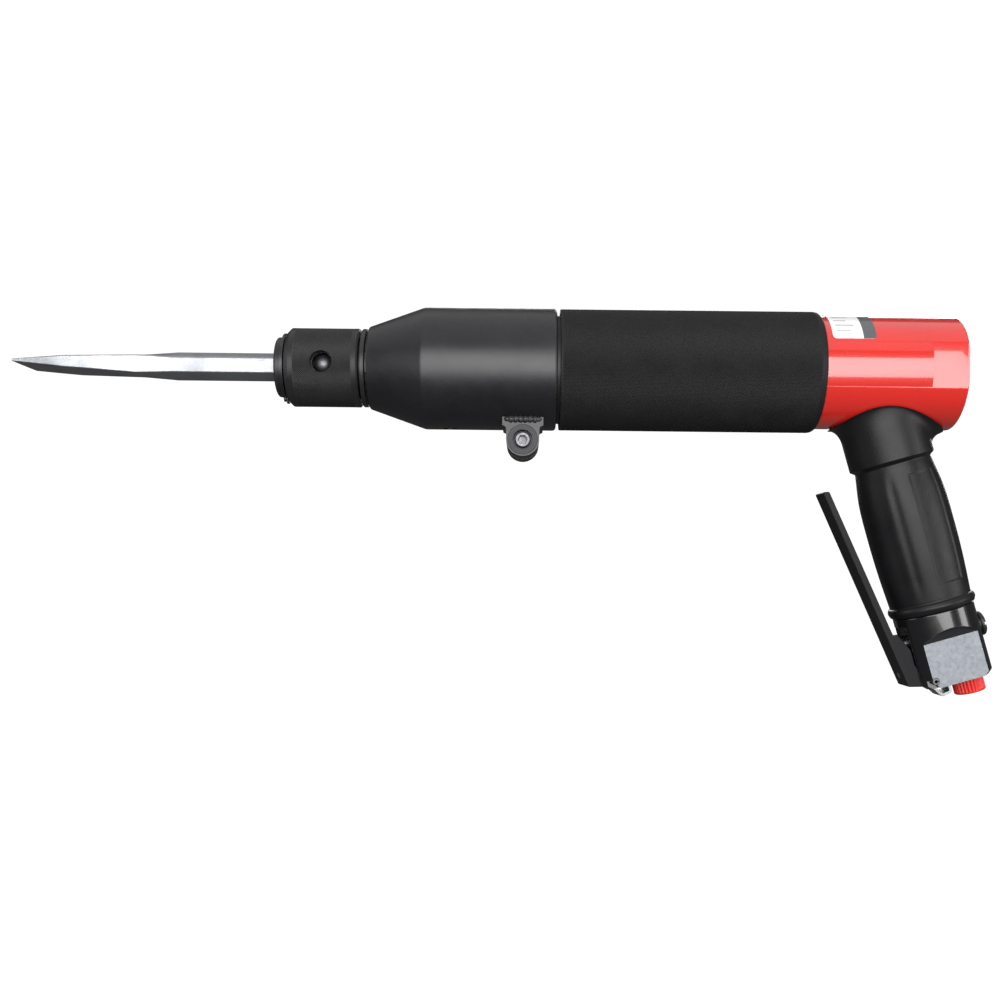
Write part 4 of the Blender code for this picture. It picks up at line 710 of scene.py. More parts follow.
def skin(
    name: str,
    rings: Sequence[Sequence[Vector]],
    looped: bool,
    matrix: Matrix,
    knurled: range = range(0),
) -> bpy.types.Object:
    """Skins rings of points. A ring of one point is a pole.

    Args:
        name: the object's name.
        rings: the rings in order.
        looped: whether the last ring joins the first; otherwise open ends are capped.
        matrix: from the rings' coordinates to the hammer's.
        knurled: the rows whose points stand up in turn, and are skinned as small pyramids.

    Returns:
        The new object.
    """
    shape = bmesh.new()
    rows = [[shape.verts.new(point) for point in ring] for ring in rings]
    pairs = list(zip(rows, rows[1:]))
    if looped:
        pairs.append((rows[-1], rows[0]))
    for row, (low, high) in enumerate(pairs):
        count = max(len(low), len(high))
        for i in range(count):
            j = (i + 1) % count
            if len(low) == 1:
                shape.faces.new((low[0], high[i], high[j]))
            elif len(high) == 1:
                shape.faces.new((low[i], low[j], high[0]))
            elif row not in knurled:
                shape.faces.new((low[i], low[j], high[j], high[i]))
            elif (i + row) % 2:
                shape.faces.new((low[i], low[j], high[i]))
                shape.faces.new((low[j], high[j], high[i]))
            else:
                shape.faces.new((low[i], low[j], high[j]))
                shape.faces.new((low[i], high[j], high[i]))
    if not looped:
        for row in (rows[0], rows[-1]):
            if len(row) > 2:
                shape.faces.new(row)
    return closed_object(name, shape, matrix)


Swell = Callable[[float, float, float, int, int], float]


def lathe(
    name: str,
    profile: Sequence[Point2],
    matrix: Matrix = ALONG_X,
    sides: int = 128,
    looped: bool = False,
    swell: Swell | None = None,
    knurled: range = range(0),
) -> bpy.types.Object:
    """Turns a profile of (radius, height) points about its axis.

    Args:
        name: the object's name.
        profile: the points in order.
        matrix: places the axis, which is z before it.
        sides: points round the axis.
        looped: whether the profile closes on itself, as a ring's does.
        swell: the radius at (radius, height, angle, column, row), where it isn't plain.
        knurled: the rows that are skinned as small pyramids.

    Returns:
        The new object.
    """
    rings = []
    for row, (radius, height) in enumerate(profile):
        if radius <= 0:
            rings.append([Vector((0, 0, height))])
            continue
        ring = []
        for column in range(sides):
            angle = 2 * math.pi * column / sides
            reach = swell(radius, height, angle, column, row) if swell else radius
            ring.append(Vector((reach * math.cos(angle), reach * math.sin(angle), height)))
        rings.append(ring)
    return skin(name, rings, looped, matrix, knurled)


def slab(name: str, outline: Sequence[Point2], low: float, high: float, matrix: Matrix) -> bpy.types.Object:
    """An outline of (x, z) points that fills the space from y = low to y = high.

    Args:
        name: the object's name.
        outline: the points in order.
        low: the y of one face.
        high: the y of the other.
        matrix: from the outline's coordinates to the hammer's.

    Returns:
        The new object.
    """
    shape = bmesh.new()
    near = [shape.verts.new((x, low, z)) for x, z in outline]
    far = [shape.verts.new((x, high, z)) for x, z in outline]
    shape.faces.new(near)
    shape.faces.new(far)
    for i in range(len(outline)):
        j = (i + 1) % len(outline)
        shape.faces.new((near[i], near[j], far[j], far[i]))
    return closed_object(name, shape, matrix)


def block(name: str, low: Sequence[float], high: Sequence[float], matrix: Matrix) -> bpy.types.Object:
    """A plain box between two corners, for cutting.

    Args:
        name: the object's name.
        low: its lowest corner.
        high: its highest corner.
        matrix: places it.

    Returns:
        The new object.
    """
    outline = [(low[0], low[2]), (high[0], low[2]), (high[0], high[2]), (low[0], high[2])]
    return slab(name, outline, low[1], high[1], matrix)


def bar(
    name: str, radius: float, low: float, high: float, matrix: Matrix, sides: int = 48
) -> bpy.types.Object:
    """A plain cylinder between two heights, for cutting.

    Args:
        name: the object's name.
        radius: its radius.
        low: where it starts on the axis.
        high: where it ends.
        matrix: places the axis, which is z before it.
        sides: points round the axis.

    Returns:
        The new object.
    """
    return lathe(name, ((0, low), (radius, low), (radius, high), (0, high)), matrix, sides)


def bake(obj: bpy.types.Object) -> None:
    """Gives an object the mesh that its modifiers make, and removes them.

    Args:
        obj: the object whose modifiers are applied.
    """
    graph = bpy.context.evaluated_depsgraph_get()
    mesh = bpy.data.meshes.new_from_object(obj.evaluated_get(graph))
    obj.modifiers.clear()
    old = obj.data
    obj.data = mesh
    bpy.data.meshes.remove(old)


def combine(obj: bpy.types.Object, other: bpy.types.Object, how: Solver = Solver.CUT) -> None:
    """Cuts another shape from an object or joins it on, and removes the other shape.

    Args:
        obj: the object that is changed.
        other: the tool shape.
        how: cut or join.
    """
    step = obj.modifiers.new(other.name, "BOOLEAN")
    step.operation = how.value
    step.solver = "EXACT"
    step.object = other
    bake(obj)
    bpy.data.objects.remove(other, do_unlink=True)


def soften(obj: bpy.types.Object, width: float, segments: int = 2, angle: float = 32) -> None:
    """Rounds an object's edges.

    Args:
        obj: the object.
        width: the rounding's width.
        segments: faces across it.
        angle: the least angle in degrees of an edge that is rounded.
    """
    step = obj.modifiers.new("round_edges", "BEVEL")
    step.width = width
    step.segments = segments
    step.limit_method = "ANGLE"
    step.angle_limit = math.radians(angle)
    step.use_clamp_overlap = True
    step.harden_normals = False
    bake(obj)


def smooth(obj: bpy.types.Object, angle: float = 32) -> None:
    """Shades an object smooth and keeps edges sharper than an angle in degrees.

    Args:
        obj: the object.
        angle: edges sharper than this many degrees stay sharp.
    """
    for polygon in obj.data.polygons:
        polygon.use_smooth = True
    obj.data.set_sharp_from_angle(angle=math.radians(angle))
    step = obj.modifiers.new("even_shading", "WEIGHTED_NORMAL")
    step.keep_sharp = True
    step.weight = 80
    bake(obj)


# ------------------------------------------------------------------- workshop


class Workshop:
    """Makes the materials once, and hands pieces over to the frame."""

    def __init__(self) -> None:
        """Builds the shared groups and starts with no materials."""
        self.kit = NodeKit()
        self.made: dict[str, bpy.types.Material] = {}

    def material(self, finish: str) -> bpy.types.Material:
        """The material of a finish, made when first asked for.

        Args:
            finish: its key in FINISHES.

        Returns:
            The material.
        """
        if finish not in self.made:
            self.made[finish] = FINISHES[finish].build(self.kit)
        return self.made[finish]

    def dress(self, obj: bpy.types.Object, *finishes: str) -> None:
        """Gives an object the materials of these finishes, in slot order.

        Args:
            obj: the object.
            finishes: their keys in FINISHES.
        """
        kept = [polygon.material_index for polygon in obj.data.polygons]
        obj.data.materials.clear()
        for finish in finishes:
            obj.data.materials.append(self.material(finish))
        if max(kept, default=0) < len(finishes):
            obj.data.polygons.foreach_set("material_index", kept)

    def hand_over(
        self, obj: bpy.types.Object, body: str, slot: str, *nodes: str, finish: str = ""
    ) -> bpy.types.Object:
        """Finishes a piece: dressed, riding its body and standing for its CAD nodes.

        Args:
            obj: the piece.
            body: the CAD body that it moves with.
            slot: the record's material slot.
            nodes: the CAD nodes that it stands for.
            finish: the finish, where it isn't the slot's own.

        Returns:
            The piece.
        """
        if not obj.data.materials:
            self.dress(obj, finish or slot)
        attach(obj, body)
        if nodes:
            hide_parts(*nodes)
        LOG.info("%s: %d faces on %s", obj.name, len(obj.data.polygons), body)
        return obj


# ------------------------------------------------------------------ sub-assemblies


@dataclass
class Housing:
    """The red housing with its rubber sleeve and label."""

    radius: float = 0.0320
    wall: float = 0.0035
    rear_wall: float = 0.0070
    edge: float = 0.0012
    flat_depth: float = 0.0025
    flat_length: float = 0.0205
    neck_radius: float = 0.0123
    sleeve_radius: float = 0.03425
    sleeve_pitch: float = 0.0015
    sleeve_relief: float = 0.00021
    sleeve_end: float = 0.0030
    wiper_inner: float = 0.0288
    wiper_outer: float = 0.0306
    wiper_length: float = 0.0042
    label_turn: float = 25.0
    label_width: float = 0.0404

    def build(self, shop: Workshop) -> None:
        """Builds the three pieces and hands them over.

        Args:
            shop: dresses the pieces and hands them over.
        """
        shop.hand_over(self.make_shell(), "housing", "red_paint", "housing")
        shop.hand_over(
            self.make_sleeve(), "housing", "grip_rubber", "grip_sleeve", finish="sleeve_rubber"
        )
        shop.hand_over(self.make_wiper(), "housing", "seal_rubber")
        shop.hand_over(self.make_label(), "housing", "label_film", "label")

    def make_shell(self) -> bpy.types.Object:
        """The tube with a closed rear end, two wrench flats and the handle's opening.

        Returns:
            The new object, in place.
        """
        low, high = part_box("housing")
        bore = self.radius - self.wall
        profile = rounded(
            (
                (0, high.x, 0),
                (self.radius, high.x, self.edge),
                (self.radius, low.x, 0.0004),
                (bore, low.x, 0.0004),
                (bore, high.x - self.rear_wall, 0),
                (0, high.x - self.rear_wall, 0),
            )
        )
        shell = lathe("painted_housing", profile, sides=160)
        flat = self.radius - self.flat_depth
        for side in (-1, 1):
            near, far = sorted((side * flat, side * 2 * self.radius))
            low_corner = (high.x - self.flat_length, near, -self.radius * 2)
            high_corner = (high.x + self.wall, far, self.radius * 2)
            combine(shell, block("flat", low_corner, high_corner, Matrix.Identity(4)))
        combine(shell, bar("opening", self.neck_radius, -self.radius * 1.5, -bore / 2, HANDLE))
        soften(shell, 0.0004, 2)
        smooth(shell)
        return shell

    def make_sleeve(self) -> bpy.types.Object:
        """The rubber sleeve with a moulded diamond relief and a rounded rear end.

        Returns:
            The new object, in place.
        """
        low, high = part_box("grip_sleeve")
        inner = self.radius + GAP
        outer = self.sleeve_radius
        half = self.sleeve_pitch / 2
        sides = 2 * round(math.pi * outer / half)
        end = self.sleeve_end
        back = [
            (outer - 0.6 * end * (1 - math.cos(a)), high.x - end + end * math.sin(a))
            for a in (math.pi / 2 * i / 9 for i in range(9, 0, -1))
        ]
        profile = [(inner, high.x)] + back
        start, stop = high.x - end, low.x + 0.0008
        count = round((start - stop) / half)
        first = len(profile)
        profile += [(outer, start + (stop - start) * i / count) for i in range(count + 1)]
        last = len(profile) - 1
        profile += rounded(((outer, stop, 0), (outer, low.x, 0.0006), (inner, low.x, 0)))[1:]

        def swell(radius: float, height: float, angle: float, column: int, row: int) -> float:
            """Raises and sinks the points in turn, so that they form diamonds."""
            if not first < row < last:
                return radius
            return radius + self.sleeve_relief * (0.4 if (column + row) % 2 else -1.0)

        sleeve = lathe(
            "rubber_sleeve", profile, sides=sides, looped=True, swell=swell, knurled=range(first, last)
        )
        smooth(sleeve, 14)
        return sleeve

    def make_wiper(self) -> bpy.types.Object:
        """The rubber wiper ring that fills the gap in front of the housing.

        Returns:
            The new object, in place.
        """
        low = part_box("housing")[0]
        corners = (
            (self.wiper_inner, low.x - GAP, 0),
            (self.wiper_outer, low.x - GAP, 0.0004),
            (self.wiper_outer, low.x - self.wiper_length, 0.0006),
            (self.wiper_inner, low.x - self.wiper_length, 0),
        )
        wiper = lathe("wiper_ring", rounded(corners, 3, True), sides=128, looped=True)
        smooth(wiper)
        return wiper

    def make_label(self) -> bpy.types.Object:
        """A thin film with round corners on the curve of the housing, laid out for its print.

        Returns:
            The new object, in place.
        """
        low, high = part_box("label")
        length = high.x - low.x
        base, top = self.radius + 0.0001, self.radius + 0.00035
        half_angle = math.asin(self.label_width / 2 / self.radius)
        corner = 0.0020
        shape = bmesh.new()
        layout = shape.loops.layers.uv.new("layout")
        columns, rows = 48, 48
        grids = []
        for radius in (base, top):
            grid = []
            for i in range(columns + 1):
                line = []
                along = i / columns
                inset = self.corner_inset(along * length, length, corner)
                for j in range(rows + 1):
                    across = j / rows
                    reach = half_angle - inset / self.radius
                    angle = math.radians(-self.label_turn) + reach * (2 * across - 1)
                    x = low.x + along * length
                    line.append(shape.verts.new((x, radius * math.sin(angle), radius * math.cos(angle))))
                grid.append(line)
            grids.append(grid)
        under, upper = grids
        for i in range(columns):
            for j in range(rows):
                faces = [(grid[i][j], grid[i + 1][j], grid[i + 1][j + 1], grid[i][j + 1]) for grid in grids]
                for corners in faces:
                    face = shape.faces.new(corners)
                    spots = ((i, j), (i + 1, j), (i + 1, j + 1), (i, j + 1))
                    for loop, (u, v) in zip(face.loops, spots):
                        loop[layout].uv = (u / columns, v / rows)
        rim = [(i, 0) for i in range(columns)] + [(columns, j) for j in range(rows)]
        rim += [(i, rows) for i in range(columns, 0, -1)] + [(0, j) for j in range(rows, 0, -1)]
        for (a, b), (c, d) in zip(rim, rim[1:] + rim[:1]):
            shape.faces.new((under[a][b], under[c][d], upper[c][d], upper[a][b]))
        label = closed_object("data_label", shape, Matrix.Identity(4))
        smooth(label, 40)
        return label

    @staticmethod
    def corner_inset(along: float, length: float, corner: float) -> float:
        """How far the film's long edges draw in near its ends.

        Args:
            along: the distance from the near end.
            length: the whole length.
            corner: the radius of the round corners.

        Returns:
            How far the side draws in there.
        """
        near = min(along, length - along)
        if near >= corner:
            return 0.0
        return corner - math.sqrt(max(corner**2 - (corner - near) ** 2, 0.0))


@dataclass
class FrontTube:
    """The black front tube with its cone, welded clamp boss and clamp screw."""

    radius: float = 0.0345
    wall: float = 0.0035
    cone_length: float = 0.0317
    cone_radius: float = 0.0234
    cone_wall: float = 0.0028
    boss_setback: float = 0.0188
    boss_drop: float = 0.0419
    boss_radius: float = 0.0093
    boss_half: float = 0.0180
    boss_fillet: float = 0.0022
    slit: float = 0.0025
    slit_length: float = 0.0360
    hole_radius: float = 0.0054
    hole_depth: float = 0.0062
    exhaust_setback: float = 0.0604
    exhaust_radius: float = 0.0045
    screw_radius: float = 0.0025
    head_radius: float = 0.00425
    head_height: float = 0.0050
    socket: float = 0.0023
    bead: float = 0.0022

    def build(self, shop: Workshop) -> None:
        """Builds the tube, its boss ring, weld bead and screw, and hands them over.

        Args:
            shop: dresses the pieces and hands them over.
        """
        self.low, self.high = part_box("front_tube")
        self.boss_x = self.high.x - self.boss_setback
        shop.hand_over(self.make_tube(), "front_unit", "satin_black", "front_tube")
        shop.hand_over(self.make_ring(), "front_unit", "satin_black", finish="dark_boss")
        shop.hand_over(self.make_bead(), "front_unit", "satin_black", finish="weld_metal")
        shop.hand_over(
            self.make_screw(), "front_unit", "ground_steel", "clamp_screw", finish="dull_steel"
        )

    def make_tube(self) -> bpy.types.Object:
        """The tube and cone, joined to the boss and then drilled and slit.

        Returns:
            The new object, in place.
        """
        bore = self.radius - self.wall
        cone_start = self.low.x + self.cone_length
        profile = rounded(
            (
                (self.radius, self.high.x, 0.0024),
                (self.radius, cone_start, 0.0060),
                (self.cone_radius, self.low.x, 0.0008),
                (self.cone_radius - self.cone_wall, self.low.x, 0.0003),
                (bore, cone_start, 0.0010),
                (bore, self.high.x, 0.0006),
            ),
            steps=5,
            closed=True,
        )
        tube = lathe("coated_front_tube", profile, sides=160, looped=True)
        combine(tube, self.make_boss(), Solver.JOIN)
        at = Matrix.Translation((self.boss_x, 0, -self.boss_drop))
        slit_low = (self.high.x - self.slit_length, -self.slit / 2, -self.boss_drop * 1.5)
        slit_high = (self.high.x + self.wall, self.slit / 2, -bore + self.wall)
        combine(tube, block("slit", slit_low, slit_high, Matrix.Identity(4)))
        far = self.boss_half + self.wall
        combine(tube, bar("screw_hole", self.screw_radius + GAP, -far, far, at @ UPRIGHT))
        floor = self.boss_half - self.hole_depth
        combine(tube, bar("counterbore", self.hole_radius, floor, far, at @ UPRIGHT))
        exhaust = Matrix.Translation((self.high.x - self.exhaust_setback, 0, 0))
        combine(tube, bar("exhaust", self.exhaust_radius, -self.radius * 1.2, -bore * 0.8, exhaust))
        soften(tube, 0.00035, 2)
        smooth(tube)
        return tube

    def make_boss(self) -> bpy.types.Object:
        """The boss below the tube, with its sides flaring into the tube.

        Returns:
            The new object, in place.
        """
        x, drop, r = self.boss_x, self.boss_drop, self.boss_radius
        meet = -self.radius + 0.0004
        buried = -math.sqrt(self.radius**2 - self.boss_half**2) + 0.0012
        inside = -self.radius + self.wall * 1.4
        flare = self.boss_fillet
        outline = [(x + r + flare, buried)]
        outline += arc((x + r + flare, meet - flare), flare, 90, 180, 6)
        outline += arc((x, -drop), r, 0, -180, 36)
        outline += arc((x - r - flare, meet - flare), flare, 0, 90, 6)
        outline += [(x - r - flare, buried)]
        boss = slab("boss", outline, -self.boss_half, self.boss_half, Matrix.Identity(4))
        ends = (self.low.x, self.high.x + self.wall)
        combine(boss, bar("trim", -inside, *ends, ALONG_X, 160))
        return boss

    def make_ring(self) -> bpy.types.Object:
        """The turned dark ring on the boss's near end, round the screw's recess.

        Returns:
            The new object, in place.
        """
        at = Matrix.Translation((self.boss_x, 0, -self.boss_drop)) @ UPRIGHT
        face = self.boss_half
        corners = (
            (self.hole_radius + 0.0001, face - 0.0004, 0),
            (self.hole_radius + 0.0001, face + 0.0003, 0.0002),
            (self.boss_radius - 0.0009, face + 0.0003, 0.0003),
            (self.boss_radius - 0.0007, face - 0.0004, 0),
        )
        ring = lathe("boss_ring", rounded(corners, 3, True), at, 64, looped=True)
        smooth(ring)
        return ring

    def make_bead(self) -> bpy.types.Object:
        """The rippled weld bead where the boss meets the tube, on its near and far ends.

        Returns:
            The new object, in place.
        """
        shape = bmesh.new()
        sides, count = 10, 90
        reach = self.boss_radius + self.boss_fillet * 0.7
        for end in (-1, 1):
            rings = []
            y = end * (self.boss_half - 0.0002)
            for i in range(count + 1):
                share = i / count
                x = self.boss_x + reach * (2 * share - 1)
                ripple = 0.72 + 0.28 * abs(math.sin(share * math.pi * 8))
                taper = min(1.0, 6 * share, 6 * (1 - share)) ** 0.5
                size = max(self.bead * ripple * taper, 0.0001)
                z = -math.sqrt(self.radius**2 - y**2) - self.bead * 0.5
                wander = 0.0002 * noise.noise(Vector((x * 300, y * 10, 0)))
                ring = [
                    shape.verts.new(
                        (
                            x,
                            y + size * math.cos(2 * math.pi * k / sides),
                            z + wander + size * math.sin(2 * math.pi * k / sides),
                        )
                    )
                    for k in range(sides)
                ]
                rings.append(ring)
            for a, b in zip(rings, rings[1:]):
                for k in range(sides):
                    m = (k + 1) % sides
                    shape.faces.new((a[k], a[m], b[m], b[k]))
            shape.faces.new(rings[0])
            shape.faces.new(rings[-1])
        bead = closed_object("weld_bead", shape, Matrix.Identity(4))
        smooth(bead, 60)
        return bead

    def make_screw(self) -> bpy.types.Object:
        """The socket cap screw that draws the clamp together.

        Returns:
            The new object, in place.
        """
        at = Matrix.Translation((self.boss_x, 0, -self.boss_drop)) @ UPRIGHT
        under = self.boss_half - self.hole_depth + GAP
        top = under + self.head_height
        profile = rounded(
            (
                (0, top, 0),
                (self.head_radius, top, 0.0006),
                (self.head_radius, under, 0.0001),
                (self.screw_radius, under, 0),
                (self.screw_radius, -self.boss_half + GAP, 0.0003),
                (0, -self.boss_half + GAP, 0),
            ),
            3,
        )
        screw = lathe("clamp_cap_screw", profile, at, 48)
        hexagon = hexagon_bar("socket", 2 * self.socket, top - self.head_height * 0.6, top + 0.004, at)
        combine(screw, hexagon)
        soften(screw, 0.00015, 1, 40)
        smooth(screw)
        return screw


def hexagon_bar(name: str, across: float, low: float, high: float, matrix: Matrix) -> bpy.types.Object:
    """A hexagon bar between two heights, with a corner at x on its axis, for cutting.

    Args:
        name: the object's name.
        across: the distance across its flats.
        low: where it starts on the axis.
        high: where it ends.
        matrix: places the axis, which is z before it.

    Returns:
        The new object.
    """
    corner = across / math.sqrt(3)
    return bar(name, corner, low, high, matrix, 6)


@dataclass
class Nose:
    """The chisel holder with its knurled retaining sleeve, circlip and ball."""

    holder_radius: float = 0.0173
    flange_radius: float = 0.0222
    flange: float = 0.0026
    flange_gap: float = 0.0013
    tail_radius: float = 0.0155
    nose_radius: float = 0.0170
    groove_depth: float = 0.0015
    sleeve_radius: float = 0.0223
    sleeve_chamfer: float = 0.0023
    knurl_pitch: float = 0.0011
    knurl_relief: float = 0.00020
    knurl_rear: float = 0.0035
    knurl_front: float = 0.0050
    window_radius: float = 0.0061
    hexagon: float = 0.01533
    clip_radius: float = 0.0192
    clip_opening: float = 24.0
    lug: float = 0.0019
    lug_inset: float = 0.0004
    lug_hole: float = 0.0007
    ball_radius: float = 0.0055

    def build(self, shop: Workshop) -> None:
        """Builds the four pieces and hands them over.

        Args:
            shop: dresses the pieces and hands them over.
        """
        shop.hand_over(self.make_holder(), "front_unit", "black_oxide", "chisel_holder")
        shop.hand_over(
            self.make_sleeve(), "retaining_sleeve", "black_oxide", "retaining_sleeve",
            finish="knurled_black",
        )
        shop.hand_over(self.make_clip(), "front_unit", "satin_black", "circlip")
        shop.hand_over(
            self.make_ball(), "retaining_ball", "bright_steel", "retaining_ball", finish="dull_steel"
        )

    def make_holder(self) -> bpy.types.Object:
        """The holder: flange, body, clip groove and nose round the hexagon hole.

        Returns:
            The new object, in place.
        """
        low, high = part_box("chisel_holder")
        clip_low, clip_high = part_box("circlip")
        flange_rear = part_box("front_tube")[0].x - self.flange_gap
        groove = self.holder_radius - self.groove_depth
        profile = rounded(
            (
                (0, high.x, 0),
                (self.tail_radius, high.x, 0.0005),
                (self.tail_radius, flange_rear, 0),
                (self.flange_radius, flange_rear, 0.0005),
                (self.flange_radius, flange_rear - self.flange, 0.0005),
                (self.holder_radius, flange_rear - self.flange, 0.0002),
                (self.holder_radius, clip_high.x + GAP, 0.0002),
                (groove, clip_high.x + GAP, 0),
                (groove, clip_low.x - GAP, 0),
                (self.nose_radius, clip_low.x - GAP, 0.0002),
                (self.nose_radius, low.x, 0.0012),
                (0, low.x, 0),
            )
        )
        holder = lathe("turned_holder", profile, sides=128)
        combine(holder, hexagon_bar("shank_hole", self.hexagon, low.x - 0.004, high.x + 0.004, ALONG_X))
        ball = Matrix.Translation((self.ball_x(), 0, 0)) @ UPRIGHT
        combine(holder, bar("ball_hole", self.ball_radius + GAP, 0.0037, 0.03, ball, 32))
        soften(holder, 0.0003, 2, 40)
        smooth(holder)
        return holder

    @staticmethod
    def ball_x() -> float:
        """The ball's place along the hammer.

        Returns:
            Its place, in the hammer's x.
        """
        low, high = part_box("retaining_ball")
        return (low.x + high.x) / 2

    def make_sleeve(self) -> bpy.types.Object:
        """The knurled retaining sleeve with its window.

        Returns:
            The new object, in place.
        """
        low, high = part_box("retaining_sleeve")
        inner = self.holder_radius + GAP
        outer = self.sleeve_radius
        half = self.knurl_pitch / 2
        profile = rounded(
            (
                (inner, high.x, 0.0002),
                (outer - 0.0010, high.x, 0.0003),
                (outer, high.x - 0.0010, 0.0003),
                (outer, high.x - self.knurl_rear, 0),
            ),
            3,
        )
        start, stop = high.x - self.knurl_rear, low.x + self.knurl_front
        count = round((start - stop) / half)
        first = len(profile) - 1
        profile += [(outer, start + (stop - start) * i / count) for i in range(1, count + 1)]
        last = len(profile) - 1
        chamfer = self.sleeve_chamfer
        ending = (
            (outer, stop, 0),
            (outer, low.x + chamfer, 0.0008),
            (outer - chamfer, low.x, 0.0004),
            (inner, low.x, 0.0002),
            (inner, high.x, 0),
        )
        profile += rounded(ending, 3)[1:-1]

        def swell(radius: float, height: float, angle: float, column: int, row: int) -> float:
            """Raises and sinks the points in turn, so that they form the knurl's points."""
            if not first < row < last:
                return radius
            return radius - self.knurl_relief * (0.0 if (column + row) % 2 else 1.0)

        sides = 2 * round(math.pi * outer / half)
        sleeve = lathe(
            "knurled_sleeve", profile, sides=sides, looped=True, swell=swell, knurled=range(first, last)
        )
        ball = Matrix.Translation((self.ball_x(), 0, 0)) @ UPRIGHT
        combine(sleeve, bar("window", self.window_radius, 0.010, 0.03, ball, 48))
        smooth(sleeve, 14)
        return sleeve

    def make_clip(self) -> bpy.types.Object:
        """The open spring clip, with a drilled lug at each end.

        Returns:
            The new object, in place.
        """
        low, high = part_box("circlip")
        inner = self.holder_radius - self.groove_depth + GAP
        middle = (inner + self.clip_radius) / 2
        start = -90 + self.clip_opening / 2
        end = 270 - self.clip_opening / 2
        outline = arc((0, 0), self.clip_radius, start + 3, end - 3, 96)
        reach = self.clip_radius - self.lug_inset
        for angle, back in ((end, arc((0, 0), inner, end - 2, start + 2, 96)), (start, [])):
            spot = math.radians(angle)
            lug = (reach * math.cos(spot), reach * math.sin(spot))
            outline += arc(lug, self.lug, angle - 90, angle + 90, 10) + back
        side = Matrix.Rotation(-math.pi / 2, 4, "Z")
        clip = slab("spring_clip", outline, low.x, high.x, side)
        for angle in (start, end):
            spot = math.radians(angle)
            side_way, height = -math.cos(spot), math.sin(spot)
            place = Matrix.Translation(self.clip_radius * Vector((0, side_way, height)))
            ends = (low.x - HIDDEN, high.x + HIDDEN)
            combine(clip, bar("lug_hole", self.lug_hole, *ends, place @ ALONG_X, 16))
        soften(clip, 0.00015, 1, 40)
        smooth(clip)
        return clip

    def make_ball(self) -> bpy.types.Object:
        """The hardened ball in the window.

        Returns:
            The new object, in place.
        """
        low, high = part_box("retaining_ball")
        centre = (low + high) / 2
        radius = self.ball_radius
        profile = [(0, -radius)]
        profile += [
            (radius * math.cos(a), radius * math.sin(a))
            for a in (math.radians(-90 + 6 * i) for i in range(1, 30))
        ]
        profile += [(0, radius)]
        ball = lathe("lock_ball", profile, Matrix.Translation(centre), 64)
        smooth(ball)
        return ball


